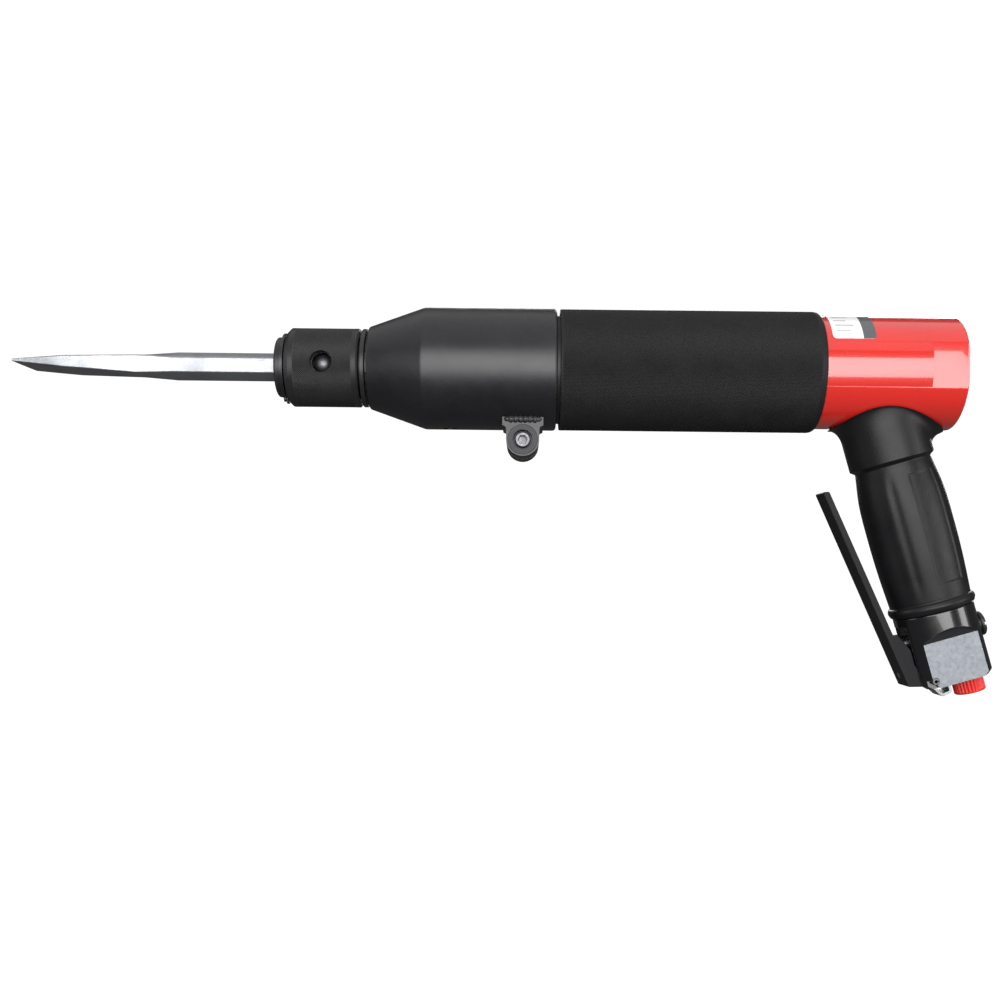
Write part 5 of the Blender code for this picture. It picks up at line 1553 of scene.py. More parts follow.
@dataclass
class ChiselBit:
    """The flat chisel: a hexagon shank forged to a wide blade."""

    across: float = 0.01473
    corner_round: float = 0.0009
    blade_start: float = 0.0885
    neck: float = 0.0670
    ridge: float = 0.0450
    ridge_thickness: float = 0.0083
    bevel: float = 0.0280
    width: float = 0.0320
    neck_width: float = 0.0172
    neck_thickness: float = 0.0102
    bevel_thickness: float = 0.0068
    edge: float = 0.0014
    notch: float = 0.0022

    def build(self, shop: Workshop) -> None:
        """Builds the chisel and hands it over.

        Args:
            shop: dresses the pieces and hands them over.
        """
        chisel = self.make_chisel()
        shop.hand_over(chisel, "chisel", "bright_steel", "chisel", finish="forged_steel")

    def section(self, along: float) -> tuple[float, float, float]:
        """The section at a distance from the cutting edge.

        Args:
            along: the distance.

        Returns:
            The width, the thickness and the half height of the side corners.
        """
        corner = self.across / math.sqrt(3)
        share = (self.blade_start - along) / (self.blade_start - self.ridge)
        ridge = 2 * corner + (self.ridge_thickness - 2 * corner) * share
        if along >= self.blade_start:
            return self.across, 2 * corner, corner / 2
        if along >= self.neck:
            share = (self.blade_start - along) / (self.blade_start - self.neck)
            ease = share * share * (3 - 2 * share)
            width = self.across + (self.neck_width - self.across) * ease
            side = corner / 2 + (self.neck_thickness / 2 - corner / 2) * ease
            return width, ridge, side
        share = 1 - along / self.neck
        width = self.neck_width + (self.width - self.neck_width) * math.sin(share * math.pi / 2)
        run = min(self.neck * share / (self.neck - self.bevel), 1)
        thick = self.neck_thickness + (self.bevel_thickness - self.neck_thickness) * run
        if along < self.bevel:
            thick = self.edge + (self.bevel_thickness - self.edge) * along / self.bevel
        return width, max(ridge, thick), thick / 2

    def make_chisel(self) -> bpy.types.Object:
        """Skins the sections, with rounded corners, and cuts the ball's notch.

        Returns:
            The new object, in place.
        """
        low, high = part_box("chisel")
        length = high.x - low.x
        stations = [0, 0.0004]
        stations += [self.bevel * i / 10 for i in range(1, 10)]
        stations += [self.bevel - 0.0006, self.bevel, self.bevel + 0.0006]
        stations += [self.bevel + (self.blade_start - self.bevel) * i / 30 for i in range(1, 31)]
        stations += [self.blade_start + 0.0010, length - 0.0012, length]
        rings = []
        for along in stations:
            width, thick, side = self.section(along)
            if along == length:
                width, thick, side = (v * 0.9 for v in (width, thick, side))
            side = min(side, thick / 2 - 0.00005)
            radius = min(self.corner_round, thick / 6)
            corners = (
                (0, thick / 2, radius * 2),
                (width / 2, side, radius),
                (width / 2, -side, radius),
                (0, -thick / 2, radius * 2),
                (-width / 2, -side, radius),
                (-width / 2, side, radius),
            )
            outline = self.even_outline(corners)
            rings.append([Vector((low.x + along, y, z)) for y, z in outline])
        chisel = skin("forged_chisel", rings, False, Matrix.Identity(4))
        ball = Nose.ball_x()
        reach = 0.0048
        corner = self.across / math.sqrt(3)
        notch = block(
            "notch",
            (ball - reach, -self.across, -corner),
            (ball + reach + 0.012, self.notch - self.across / 2, corner),
            Matrix.Identity(4),
        )
        combine(chisel, notch)
        smooth(chisel, 24)
        return chisel

    @staticmethod
    def even_outline(corners: Sequence[Corner]) -> list[Point2]:
        """Rounds six corners with the same count of points at each, whatever their angle.

        Args:
            corners: the section's corners.

        Returns:
            Five points for each corner.
        """
        points: list[Point2] = []
        for i, (x, y, radius) in enumerate(corners):
            here = Vector((x, y))
            back = Vector(corners[i - 1][:2]) - here
            ahead = Vector(corners[(i + 1) % 6][:2]) - here
            reach = min(radius, 0.4 * back.length, 0.4 * ahead.length)
            first = here + back.normalized() * reach
            last = here + ahead.normalized() * reach
            for step in range(5):
                t = step / 4
                spot = first * (1 - t) ** 2 + here * 2 * t * (1 - t) + last * t**2
                points.append((spot.x, spot.y))
        return points


@dataclass
class Grip:
    """The rubber handle grip, in the handle's frame."""

    core: float = 0.0173
    housing: float = 0.0323
    neck: float = 0.0238
    rear: float = 0.0322
    front: float = 0.0303
    side: float = 0.0250
    lip: float = 0.0012
    neck_drop: float = 0.0528
    rake: float = math.radians(16.1)
    sides: int = 288
    panel_top: float = 0.0620
    panel_bottom: float = 0.1255
    panel_near: float = -91.0
    panel_far: float = -50.0
    panel_depth: float = 0.00040
    body: tuple[Point2, ...] = field(
        default=(
            (0.1350, 0.0226),
            (0.1140, 0.0238),
            (0.0950, 0.0242),
            (0.0730, 0.0238),
            (0.0560, 0.0215),
        )
    )

    def build(self, shop: Workshop) -> None:
        """Builds the grip and hands it over.

        Args:
            shop: dresses the pieces and hands them over.
        """
        shop.hand_over(self.make_grip(), "housing", "grip_rubber", "handle_grip")

    def width_at(self, drop: float) -> float:
        """The body's half width at a drop, smooth through the sizes in body.

        Args:
            drop: the distance below the hammer axis, along the handle.

        Returns:
            The radius there.
        """
        points = sorted(self.body)
        if drop <= points[0][0]:
            return points[0][1]
        for i in range(len(points) - 1):
            (d0, r0), (d1, r1) = points[i], points[i + 1]
            if drop <= d1:
                before = points[i - 1] if i else (2 * d0 - d1, 2 * r0 - r1)
                after = points[i + 2] if i + 2 < len(points) else (2 * d1 - d0, 2 * r1 - r0)
                t = (drop - d0) / (d1 - d0)
                m0 = (r1 - before[1]) / (d1 - before[0]) * (d1 - d0)
                m1 = (after[1] - r0) / (after[0] - d0) * (d1 - d0)
                h = (2 * t**3 - 3 * t**2 + 1, t**3 - 2 * t**2 + t, 3 * t**2 - 2 * t**3, t**3 - t**2)
                return h[0] * r0 + h[1] * m0 + h[2] * r1 + h[3] * m1
        return points[-1][1]

    def relief(self, drop: float, angle: float) -> float:
        """How far the surface stands off its round form: the panel, creases and soft flats.

        Args:
            drop: the drop.
            angle: the angle in degrees, 0 at the rear and -90 at the left side.

        Returns:
            The offset.
        """
        fade = min(1.0, max(0.0, (drop - 0.058) / 0.012)) * min(1.0, max(0.0, (0.134 - drop) / 0.012))
        offset = 0.0
        for middle, depth, spread in ((-118.0, 0.00055, 6.0), (-137.0, 0.0004, 7.0), (118.0, 0.00055, 6.0)):
            offset -= depth * fade * math.exp(-(((angle - middle) / spread) ** 2))
        offset -= 0.0005 * fade * math.exp(-(((abs(angle) - 72.0) / 22.0) ** 2))
        across = min(angle - self.panel_near, self.panel_far - angle) * math.radians(1) * 0.0238
        along = min(drop - self.panel_top, self.panel_bottom - drop)
        inside = min(across, along)
        edge = 0.00035
        sunk = min(1.0, max(0.0, 0.5 + inside / (2 * edge)))
        return offset - self.panel_depth * sunk * sunk * (3 - 2 * sunk)

    def saddle(self, angle: float) -> tuple[float, float]:
        """Where the flare ends at an angle.

        Args:
            angle: the angle in radians, 0 at the rear.

        Returns:
            Its reach from the handle's axis, and its drop on the housing.
        """
        end = self.rear if math.cos(angle) > 0 else self.front
        reach = 1 / math.hypot(math.cos(angle) / end, math.sin(angle) / self.side)
        return reach, self.on_housing(angle, reach, self.housing + self.lip)

    def on_housing(self, angle: float, reach: float, radius: float) -> float:
        """The drop at which a line beside the handle's axis meets a cylinder on the hammer's axis.

        Args:
            angle: the angle round the handle's axis.
            reach: the distance from that axis.
            radius: the radius round the hammer axis to lie on.

        Returns:
            The height along the handle.
        """
        height = math.sqrt(radius**2 - (reach * math.sin(angle)) ** 2)
        lean = math.sin(self.rake) * reach * math.cos(angle)
        return (height + lean) / math.cos(self.rake)

    def make_grip(self) -> bpy.types.Object:
        """Skins the grip: inside, bead, body, stepped neck, flare and the lip on the housing.

        Returns:
            The new object, in place.
        """
        angles = [2 * math.pi * i / self.sides for i in range(self.sides)]
        rings: list[list[Vector]] = []

        def plain(radius: float, drop: float) -> None:
            """Adds a round ring."""
            rings.append([Vector((radius * math.cos(a), radius * math.sin(a), -drop)) for a in angles])

        plain(self.core, 0.0900)
        plain(self.core, 0.1404)
        bead = rounded(
            (
                (self.core, 0.1404, 0),
                (0.0234, 0.1404, 0.0010),
                (0.0245, 0.1376, 0.0024),
                (0.0236, 0.1352, 0.0010),
                (0.0226, 0.1349, 0.0008),
                (0.02262, 0.1338, 0),
            ),
            6,
        )
        for radius, drop in bead[1:]:
            plain(radius, drop)
        count = round((0.1335 - 0.0562) / 0.0005)
        for i in range(count + 1):
            drop = 0.1335 + (0.0562 - 0.1335) * i / count
            base = self.width_at(drop)
            ring = []
            for a in angles:
                degrees = math.degrees(a) if a <= math.pi else math.degrees(a) - 360
                radius = base + self.relief(drop, degrees)
                ring.append(Vector((radius * math.cos(a), radius * math.sin(a), -drop)))
            rings.append(ring)
        step = rounded(((0.0215, 0.0560, 0), (0.0212, 0.0545, 0.0010), (0.0236, 0.0528, 0.0008)), 4)
        for radius, drop in step[1:]:
            plain(radius, drop)
        plain(self.neck, self.neck_drop - 0.0006)
        steps = 16
        for i in range(steps + 1):
            share = i / steps
            ring = []
            for a in angles:
                reach, end = self.saddle(a)
                toward_front = (1 - math.cos(a)) / 2
                room = self.neck_drop - 0.0010 - end
                flare = min(0.0072 + 0.0030 * toward_front, room)
                radius = self.neck + (reach - self.neck) * (1 - math.sqrt(1 - share**2))
                drop = end + flare * (1 - share)
                ring.append(Vector((radius * math.cos(a), radius * math.sin(a), -drop)))
            rings.append(ring)
        for inset, radius in ((0.0006, self.housing + self.lip * 0.4), (0.0012, self.housing + 0.0001)):
            rings.append(self.lip_ring(angles, inset, radius))
        for share in (0.35, 0.7, 1.0):
            ring = []
            for a in angles:
                reach = self.saddle(a)[0] - 0.0012
                reach += (self.core - reach) * share
                drop = self.on_housing(a, reach, self.housing + 0.0001)
                ring.append(Vector((reach * math.cos(a), reach * math.sin(a), -drop)))
            rings.append(ring)
        grip = skin("moulded_grip", rings, True, HANDLE)
        smooth(grip, 45)
        return grip

    def lip_ring(self, angles: Sequence[float], inset: float, radius: float) -> list[Vector]:
        """A ring on the lip that turns in against the housing.

        Args:
            angles: the angles round the handle.
            inset: how far inside the flare's reach.
            radius: the distance from the hammer's axis.

        Returns:
            The ring's points.
        """
        ring = []
        for a in angles:
            reach = self.saddle(a)[0] - inset
            drop = self.on_housing(a, reach, radius)
            ring.append(Vector((reach * math.cos(a), reach * math.sin(a), -drop)))
        return ring


@dataclass
class ThrottleBody:
    """The handle's metal core and throttle body, with its valve cap, pin and dust cap."""

    core_radius: float = 0.0170
    neck_radius: float = 0.0120
    housing: float = 0.0323
    top: float = 0.1407
    bottom: float = 0.1824
    radius: float = 0.0226
    chamfer: float = 0.0020
    flat: float = 0.0162
    flat_top: float = 0.1568
    valve_drop: float = 0.1555
    valve_bore: float = 0.0062
    plunger_bore: float = 0.0031
    valve_floor: float = 0.0040
    port: float = 0.0085
    port_radius: float = 0.0079
    port_depth: float = 0.0124
    slot_half: float = 0.00975
    slot_floor: float = 0.0165
    slot_top: float = 0.1455
    ear_space: float = 0.0045
    ear_approach: float = 0.0040
    corner_run: float = 0.0018
    corner_rise: float = 0.0050
    corner_side: float = 0.0132
    pin_radius: float = 0.0019
    pin_bore: float = 0.0009
    cap_radius: float = 0.0072
    cap_height: float = 0.0026
    cap_stem: float = 0.0069
    cap_slot: float = 0.0016
    plug_radius: float = 0.0088
    plug_height: float = 0.0091
    plug_depth: float = 0.0100
    ribs: int = 26

    def build(self, shop: Workshop) -> None:
        """Builds the four pieces and hands them over.

        Args:
            shop: dresses the pieces and hands them over.
        """
        core = self.make_core()
        shop.dress(core, "gloss_black", "machined_flat", "bright_steel")
        shop.hand_over(core, "housing", "gloss_black", "handle_core")
        shop.hand_over(self.make_valve_cap(), "housing", "black_oxide", "valve_cap")
        shop.hand_over(self.make_pin(), "housing", "bright_steel", "roll_pin", finish="dull_steel")
        shop.hand_over(self.make_dust_cap(), "dust_cap", "red_plastic", "dust_cap")

    def make_core(self) -> bpy.types.Object:
        """The turned body with its flats, lever slot, bores and cut corners.

        Returns:
            The new object, in place.
        """
        profile = rounded(
            (
                (0, -0.0330, 0),
                (self.core_radius, -0.0330, 0),
                (self.core_radius, -self.top, 0.0004),
                (self.radius, -self.top, 0.0008),
                (self.radius, -self.bottom + self.chamfer, 0.0008),
                (self.radius - self.chamfer, -self.bottom, 0.0003),
                (0, -self.bottom, 0),
            ),
            3,
        )
        core = lathe("throttle_body", profile, HANDLE, 128)
        ends = (-0.12, 0.02)
        combine(core, bar("housing_space", self.housing, *ends, ALONG_X, 96))
        for cutter in self.flat_cutters() + self.bore_cutters():
            combine(core, cutter)
        self.paint_flats(core)
        return core

    def flat_cutters(self) -> list[bpy.types.Object]:
        """The side flats with sloping shoulders, the lever's slot and the cut corners.

        Returns:
            The cutters.
        """
        far = self.radius + 0.004
        bottom = -self.bottom - 0.004
        depth = far - self.flat
        outline = (
            (self.flat, bottom),
            (far, bottom),
            (far, -self.flat_top + depth),
            (self.flat, -self.flat_top),
        )
        cutters = []
        for turn in (math.pi / 2, -math.pi / 2):
            turned = HANDLE @ Matrix.Rotation(turn, 4, "Z")
            cutters.append(slab("flat", outline, -far, far, turned))
        deep = -PIVOT_FRONT + self.ear_space
        shelf = -PIVOT_DROP + self.ear_space
        slot = (
            (-far, bottom),
            (deep, bottom),
            (deep, shelf),
            (-self.slot_floor, shelf + self.ear_approach),
            (-self.slot_floor, -self.slot_top),
            (-far, -self.slot_top),
        )
        cutters.append(slab("slot", slot, -self.slot_half, self.slot_half, HANDLE))
        corner = (
            (-PIVOT_FRONT + self.corner_run, bottom),
            (-PIVOT_FRONT + self.corner_run, -self.bottom),
            (-PIVOT_FRONT - self.corner_run, -self.bottom + self.corner_rise),
            (-far, -self.bottom + self.corner_rise),
            (-far, bottom),
        )
        for low, high in ((self.corner_side, far), (-far, -self.corner_side)):
            cutters.append(slab("corner", corner, low, high, HANDLE))
        return cutters

    def bore_cutters(self) -> list[bpy.types.Object]:
        """The valve, plunger, port and pin bores.

        Returns:
            The cutters.
        """
        valve = across_handle(self.valve_drop)
        port = HANDLE @ Matrix.Translation((self.port, 0, 0))
        pin = HANDLE @ Matrix.Translation((-PIVOT_FRONT, 0, -PIVOT_DROP)) @ ALONG_Y
        behind = self.radius + 0.004
        stepped = (
            (0, -behind),
            (self.plunger_bore, -behind),
            (self.plunger_bore, self.valve_floor),
            (self.valve_bore, self.valve_floor),
            (self.valve_bore, behind),
            (0, behind),
        )
        return [
            lathe("valve_bore", stepped, valve, 48),
            bar("port", self.port_radius, -self.bottom - 0.004, -self.bottom + self.port_depth, port),
            bar("pin_bore", self.pin_radius + 0.0002, -behind, behind, pin, 32),
        ]

    def paint_flats(self, core: bpy.types.Object) -> None:
        """Marks the bare milled flats, and turns their edges into thin bright rims.

        Args:
            core: the cut throttle body.
        """
        mesh = core.data
        while len(mesh.materials) < 3:
            mesh.materials.append(None)
        shape = bmesh.new()
        shape.from_mesh(mesh)
        weight = shape.edges.layers.float.get("bevel_weight_edge")
        weight = weight or shape.edges.layers.float.new("bevel_weight_edge")
        inverse = HANDLE.inverted()
        for face in shape.faces:
            side = abs((inverse @ face.calc_center_median()).y)
            is_flat = abs(face.normal.y) > 0.99 and abs(side - self.flat) < 0.0001
            face.material_index = 1 if is_flat else 0
            if is_flat:
                for edge in face.edges:
                    edge[weight] = 1.0
        for edge in shape.edges:
            if len(edge.link_faces) == 2 and edge[weight] == 0:
                if edge.calc_face_angle(0) > math.radians(35):
                    edge[weight] = 0.99
        shape.to_mesh(mesh)
        shape.free()
        step = core.modifiers.new("bright_rim", "BEVEL")
        step.limit_method = "WEIGHT"
        step.width = 0.00028
        step.segments = 2
        step.use_clamp_overlap = True
        bake(core)
        smooth(core, 30)

    def make_valve_cap(self) -> bpy.types.Object:
        """The screwed cap behind the valve, with a driver slot.

        Returns:
            The new object, in place.
        """
        front = self.radius + GAP
        top = front + self.cap_height
        stem = self.valve_bore - GAP
        profile = rounded(
            (
                (0, top, 0),
                (self.cap_radius, top, 0.0014),
                (self.cap_radius, front, 0.0004),
                (stem, front, 0),
                (stem, front - self.cap_stem, 0.0003),
                (0, front - self.cap_stem, 0),
            ),
            5,
        )
        cap = lathe("screwed_valve_cap", profile, across_handle(self.valve_drop), 64)
        half = self.cap_slot / 2
        low = (top - self.cap_height / 2, -self.radius, -self.valve_drop - half)
        high = (top + 0.004, self.radius, -self.valve_drop + half)
        combine(cap, block("slot", low, high, HANDLE))
        soften(cap, 0.0002, 2, 40)
        smooth(cap)
        return cap

    def make_pin(self) -> bpy.types.Object:
        """The rolled spring pin, with its slit towards the rear.

        Returns:
            The new object, in place.
        """
        low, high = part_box("roll_pin")
        at = HANDLE @ Matrix.Translation((-PIVOT_FRONT, 0, -PIVOT_DROP)) @ ALONG_Y
        corners = (
            (self.pin_bore, low.y, 0.0001),
            (self.pin_radius, low.y, 0.0003),
            (self.pin_radius, high.y, 0.0003),
            (self.pin_bore, high.y, 0.0001),
        )
        pin = lathe("rolled_pin", rounded(corners, 3, True), at, 48, looped=True)
        centre = (-PIVOT_FRONT, 0, -PIVOT_DROP)
        slit_low = (centre[0], low.y - 0.002, centre[2] - 0.00025)
        slit_high = (centre[0] + 2 * self.pin_radius, high.y + 0.002, centre[2] + 0.00025)
        combine(pin, block("slit", slit_low, slit_high, HANDLE))
        smooth(pin)
        return pin

    def make_dust_cap(self) -> bpy.types.Object:
        """The ribbed plastic cap that closes the inlet port.

        Returns:
            The new object, in place.
        """
        top = -self.bottom - GAP
        foot = top - self.plug_height
        plug = self.port_radius - GAP
        profile = rounded(
            (
                (0, top + self.plug_depth, 0),
                (plug, top + self.plug_depth, 0.0008),
                (plug, top, 0),
                (self.plug_radius, top, 0.0003),
                (self.plug_radius, foot, 0.0010),
                (0, foot, 0),
            ),
            5,
        )
        lower = foot + 0.0014
        upper = top - 0.0008
        body = [p for p in profile if p[1] > upper]
        body += [(self.plug_radius, upper + (lower - upper) * i / 8) for i in range(9)]
        body += [p for p in profile if p[1] < lower]

        def swell(radius: float, height: float, angle: float, column: int, row: int) -> float:
            """Sinks the grooves between the ribs."""
            if not lower <= height <= upper:
                return radius
            wave = 0.5 + 0.5 * math.cos(angle * self.ribs)
            return radius - 0.0007 * (1 - wave**0.6)

        at = HANDLE @ Matrix.Translation((self.port, 0, 0))
        cap = lathe("ribbed_dust_cap", body, at, self.ribs * 10, swell=swell)
        smooth(cap, 40)
        return cap


@dataclass
class Trigger:
    """The throttle lever with its stop strip and rivet, and the plunger behind it."""

    top: float = 0.0588
    top_front: float = 0.0453
    heel: float = 0.1782
    heel_front: float = 0.0278
    half: float = 0.00875
    sheet: float = 0.0021
    flange: float = 0.0040
    cheek_top: float = 0.1480
    step_front: float = 0.0259
    cheek_slope: float = 0.0108
    cheek_front: float = 0.0209
    ear: float = 0.0036
    pin_radius: float = 0.0022
    strip: float = 0.0015
    strip_top: float = 0.1680
    strip_knee: float = 0.1766
    tip_drop: float = 0.1886
    tip_front: float = 0.0097
    lip_front: float = 0.0043
    body_bottom: float = 0.1824
    rivet_drop: float = 0.1722
    plunger_drop: float = 0.1555

    def build(self, shop: Workshop) -> None:
        """Builds the four pieces and hands them over.

        Args:
            shop: dresses the pieces and hands them over.
        """
        shop.hand_over(self.make_lever(), "lever", "lever_black", "throttle_lever")
        shop.hand_over(self.make_strip(), "lever", "zinc", "stop_strip")
        shop.hand_over(self.make_rivet(), "lever", "zinc", "strip_rivet")
        shop.hand_over(self.make_plunger(), "throttle", "bright_steel", "throttle_plunger")

    def line(self, drop: float) -> float:
        """The x of the lever's outer face at a drop.

        Args:
            drop: the distance below the hammer axis, along the handle.

        Returns:
            The place of the lever's outer face, in the handle's x.
        """
        share = (drop - self.top) / (self.heel - self.top)
        return -self.top_front + (self.top_front - self.heel_front) * share

    def make_lever(self) -> bpy.types.Object:
        """The pressed channel with rounded bends and eared cheeks.

        Returns:
            The new object, in place.
        """
        top = self.line(self.top)
        ear = (-PIVOT_FRONT, -PIVOT_DROP)
        corners: list[Corner] = [
            (top + self.flange, -self.top - 0.0008, 0.0012),
            (top + 0.0002, -self.top, 0.0009),
            (self.line(self.heel), -self.heel - 0.0003, 0.0010),
        ]
        corners += sharp_corners(arc(ear, self.ear, -105, 120, 24))
        corners += [
            (-self.cheek_front, -PIVOT_DROP + 3 * self.ear, 0.0010),
            (-self.cheek_front, -self.cheek_top - self.cheek_slope, 0.0020),
            (-self.step_front, -self.cheek_top, 0.0008),
            (self.line(self.cheek_top) + self.flange, -self.cheek_top, 0.0010),
        ]
        outline = rounded(corners, 5, True)
        lever = slab("pressed_lever", outline, -self.half, self.half, HANDLE)
        soften(lever, 0.0011, 4, 60)
        inside = self.half - self.sheet
        pocket_top = self.top + self.sheet
        low = PIVOT_DROP + 2 * self.ear
        behind = -PIVOT_FRONT + 2 * self.ear
        pocket = (
            (self.line(pocket_top) + self.sheet, -pocket_top),
            (self.line(low) + self.sheet, -low),
            (behind, -low),
            (behind, -pocket_top),
        )
        cutter = slab("pocket", pocket, -inside, inside, HANDLE)
        soften(cutter, 0.0008, 3, 60)
        combine(lever, cutter)
        at = HANDLE @ Matrix.Translation((*(ear[0], 0), ear[1])) @ ALONG_Y
        combine(lever, bar("pin_hole", self.pin_radius, -0.02, 0.02, at, 32))
        soften(lever, 0.00025, 2, 45)
        smooth(lever, 34)
        return lever

    def make_strip(self) -> bpy.types.Object:
        """The bent zinc strip whose lip meets the body's underside.

        Returns:
            The new object, in place.
        """
        lean = math.atan2(self.top_front - self.heel_front, self.heel - self.top)
        off = (self.sheet + GAP + self.strip / 2) / math.cos(lean)
        path = [
            (self.line(self.strip_top) + off, -self.strip_top, 0.0),
            (self.line(self.strip_knee) + off, -self.strip_knee, 0.0016),
            (-PIVOT_FRONT + self.strip / 2, -PIVOT_DROP - 0.0040, 0.0016),
            (-self.tip_front, -self.tip_drop, 0.0012),
            (-self.lip_front, -self.tip_drop + 0.0009, 0.0012),
            (-self.lip_front, -self.body_bottom - GAP, 0.0),
        ]
        middle = rounded(path, 5)
        outline = self.beside(middle, self.strip / 2) + self.beside(middle, -self.strip / 2)[::-1]
        half = self.half - self.sheet - GAP
        strip = slab("bent_stop_strip", outline, -half, half, HANDLE)
        soften(strip, 0.0002, 2, 50)
        smooth(strip, 34)
        return strip

    @staticmethod
    def beside(path: Sequence[Point2], distance: float) -> list[Point2]:
        """The points of a path, moved to its left by a distance.

        Args:
            path: the points of the path.
            distance: how far beside it.

        Returns:
            The points of the second path.
        """
        moved = []
        for i, point in enumerate(path):
            before, after = path[max(i - 1, 0)], path[min(i + 1, len(path) - 1)]
            way = Vector((after[0] - before[0], after[1] - before[1])).normalized()
            moved.append((point[0] - way.y * distance, point[1] + way.x * distance))
        return moved

    def make_rivet(self) -> bpy.types.Object:
        """The rivet that holds the strip in the channel.

        Returns:
            The new object, in place.
        """
        lean = math.atan2(self.top_front - self.heel_front, self.heel - self.top)
        at = HANDLE @ Matrix.Translation((self.line(self.rivet_drop), 0, -self.rivet_drop))
        at = at @ Matrix.Rotation(math.pi / 2 - lean, 4, "Y")
        seat = self.sheet + self.strip + 2 * GAP
        profile = rounded(
            (
                (0, seat + 0.0010, 0),
                (0.0024, seat + 0.0010, 0.0009),
                (0.0027, seat, 0),
                (0.0016, seat, 0),
                (0.0016, -0.0001, 0.0002),
                (0, -0.0001, 0),
            )
        )
        rivet = lathe("strip_rivet_head", profile, at, 32)
        smooth(rivet)
        return rivet

    def make_plunger(self) -> bpy.types.Object:
        """The steel plunger that the lever presses.

        Returns:
            The new object, in place.
        """
        low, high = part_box("throttle_plunger")
        centre = (low + high) / 2
        inverse = HANDLE.inverted()
        middle = (inverse @ centre).x
        front = self.line(self.plunger_drop) + self.sheet + GAP
        rear = 2 * middle - front
        shoulder = rear - 0.0100
        profile = rounded(
            (
                (0, rear, 0),
                (0.0016, rear, 0.0002),
                (0.0016, shoulder, 0),
                (0.0028, shoulder, 0.0002),
                (0.0028, front + 0.0012, 0.0010),
                (0.0011, front, 0.0004),
                (0, front, 0),
            )
        )
        plunger = lathe("polished_plunger", profile, across_handle(self.plunger_drop), 48)
        smooth(plunger)
        return plunger


class Internals:
    """The pieces inside, whose CAD shapes stay and get their finishes."""

    def build(self, shop: Workshop) -> None:
        """Dresses every CAD node that is still shown.

        Args:
            shop: dresses the pieces and hands them over.
        """
        slots = {part["node"]: part["material_slot"] for part in frame["record"]["subparts"]}
        for name, node in sorted(frame["nodes"].items()):
            if node.hide_render:
                continue
            shop.dress(node, slots[name])
            LOG.info("%s: CAD shape dressed in %s", name, slots[name])


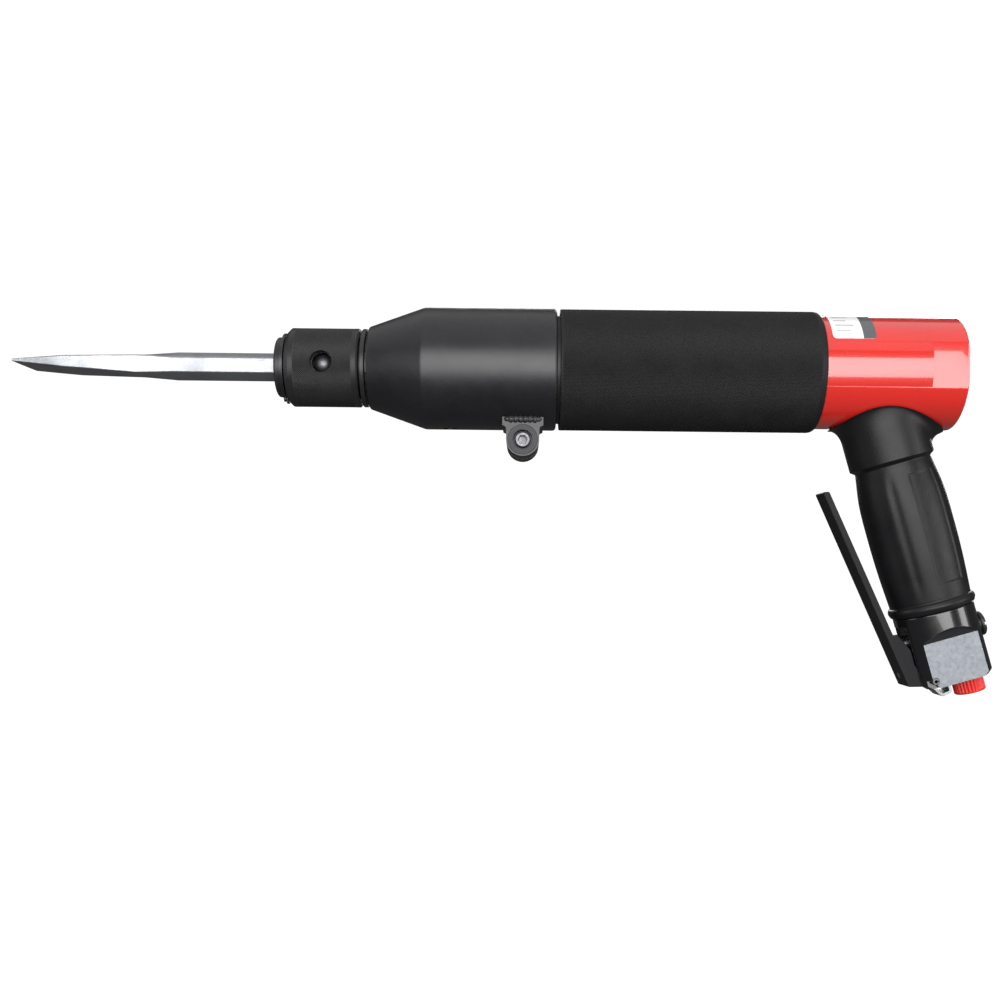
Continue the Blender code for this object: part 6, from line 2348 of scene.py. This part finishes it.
@dataclass
class Studio:
    """The pale floor, the soft lights and the camera."""

    floor: float = -0.40
    reach: float = 2.2
    wall: float = 2.6
    sides: int = 96
    camera_at: tuple[float, float, float] = (-0.243, -0.636, -0.115)
    roll: float = -0.6
    lens: float = 39.8

    def build(self, shop: Workshop) -> None:
        """Builds the floor, lights, sky and camera.

        Args:
            shop: not used.
        """
        self.make_floor()
        self.light("key", (-0.20, -1.00, 0.04), (1.40, 0.70), 19.0)
        self.light("overhead", (-0.25, -0.20, 1.40), (2.6, 2.4), 15.0)
        self.light("right_fill", (1.10, -0.60, 0.05), (0.45, 0.90), 7.0)
        self.light("left_fill", (-1.50, -0.10, 0.25), (0.5, 0.9), 4.0)
        self.light("rear_fill", (0.20, 1.30, 0.45), (1.4, 0.7), 14.0)
        self.make_sky()
        self.make_camera()
        bpy.context.scene.view_settings.view_transform = "Standard"

    def make_floor(self) -> bpy.types.Object:
        """A pale floor that sweeps up all round into a wall.

        Returns:
            The new object, in place.
        """
        rise = 1.0
        profile = [(0.0, 0.0), (0.8, 0.0), (self.reach, 0.0)]
        profile += [
            (self.reach + rise * math.sin(a), rise * (1 - math.cos(a)))
            for a in (math.radians(7.5 * i) for i in range(1, 13))
        ]
        profile.append((self.reach + rise, self.wall))
        turn = 2 * math.pi / self.sides
        rings = [[Vector((0, 0, 0))]] + [
            [
                Vector((r * math.cos(turn * k), r * math.sin(turn * k), h))
                for k in range(self.sides)
            ]
            for r, h in profile[1:]
        ]
        shape = bmesh.new()
        rows = [[shape.verts.new(p) for p in ring] for ring in rings]
        for low, high in zip(rows, rows[1:]):
            for i in range(self.sides):
                j = (i + 1) % self.sides
                if len(low) == 1:
                    shape.faces.new((low[0], high[i], high[j]))
                else:
                    shape.faces.new((low[i], low[j], high[j], high[i]))
        floor = closed_object("studio_floor", shape, Matrix.Translation((-0.25, 0, self.floor)))
        smooth(floor)
        material = bpy.data.materials.new("pale_floor")
        material.use_nodes = True
        shader = material.node_tree.nodes["Principled BSDF"]
        shader.inputs["Base Color"].default_value = (0.06, 0.06, 0.06, 1)
        shader.inputs["Roughness"].default_value = 0.9
        shader.inputs["Specular IOR Level"].default_value = 0.0
        shader.inputs["Emission Color"].default_value = (1, 1, 1, 1)
        self.seen_brighter(material.node_tree, shader.inputs["Emission Strength"], 1.05, 0.05)
        floor.data.materials.append(material)
        return floor

    @staticmethod
    def seen_brighter(tree: bpy.types.NodeTree, strength: object, seen: float, lit: float) -> None:
        """Makes a surface or sky brighter where it's seen than where it lights the hammer.

        Args:
            tree: the material's or sky's tree.
            strength: the socket of its strength.
            seen: the strength where it's seen directly.
            lit: the strength by which it lights.
        """
        path = tree.nodes.new("ShaderNodeLightPath")
        level = tree.nodes.new("ShaderNodeMapRange")
        level.inputs["To Min"].default_value = lit
        level.inputs["To Max"].default_value = seen
        tree.links.new(path.outputs["Is Camera Ray"], level.inputs["Value"])
        tree.links.new(level.outputs[0], strength)

    def light(
        self, name: str, at: tuple[float, float, float], size: tuple[float, float], power: float
    ) -> None:
        """Adds a soft box light that faces the hammer.

        Args:
            name: the light's name.
            at: its place.
            size: its width and height.
            power: its power in watts.
        """
        data = bpy.data.lights.new(name, "AREA")
        data.shape = "RECTANGLE"
        data.size, data.size_y = size
        data.energy = power
        obj = bpy.data.objects.new(name, data)
        obj.location = at
        aim = Vector((-0.20, 0, 0)) - Vector(at)
        obj.rotation_euler = aim.to_track_quat("-Z", "Y").to_euler()
        obj.visible_camera = False
        bpy.context.scene.collection.objects.link(obj)

    def make_sky(self) -> None:
        """An even pale sky."""
        world = bpy.data.worlds.new("studio_sky")
        world.use_nodes = True
        sky = world.node_tree.nodes["Background"]
        sky.inputs["Color"].default_value = (1, 1, 1, 1)
        self.seen_brighter(world.node_tree, sky.inputs["Strength"], 1.1, 0.07)
        bpy.context.scene.world = world

    def make_camera(self) -> None:
        """The camera, level with the handle and to the hammer's left."""
        data = bpy.data.cameras.new("view")
        data.sensor_width = 36
        data.lens = self.lens
        data.shift_x = -0.025
        data.shift_y = 0.070
        data.clip_start = 0.01
        camera = bpy.data.objects.new("view", data)
        bpy.context.scene.collection.objects.link(camera)
        tilt = Matrix.Rotation(math.radians(self.roll), 4, "Y") @ UPRIGHT
        camera.matrix_world = Matrix.Translation(self.camera_at) @ tilt
        bpy.context.scene.camera = camera


def main() -> None:
    """Builds the hammer's pieces in order, then the studio."""
    logging.basicConfig(level=logging.INFO, format="%(message)s")
    shop = Workshop()
    for assembly in (
        Housing(), FrontTube(), Nose(), ChiselBit(), Grip(), ThrottleBody(), Trigger(), Internals(),
        Studio(),
    ):
        assembly.build(shop)
    bpy.context.view_layer.update()


if __name__ == "__main__":
    main()
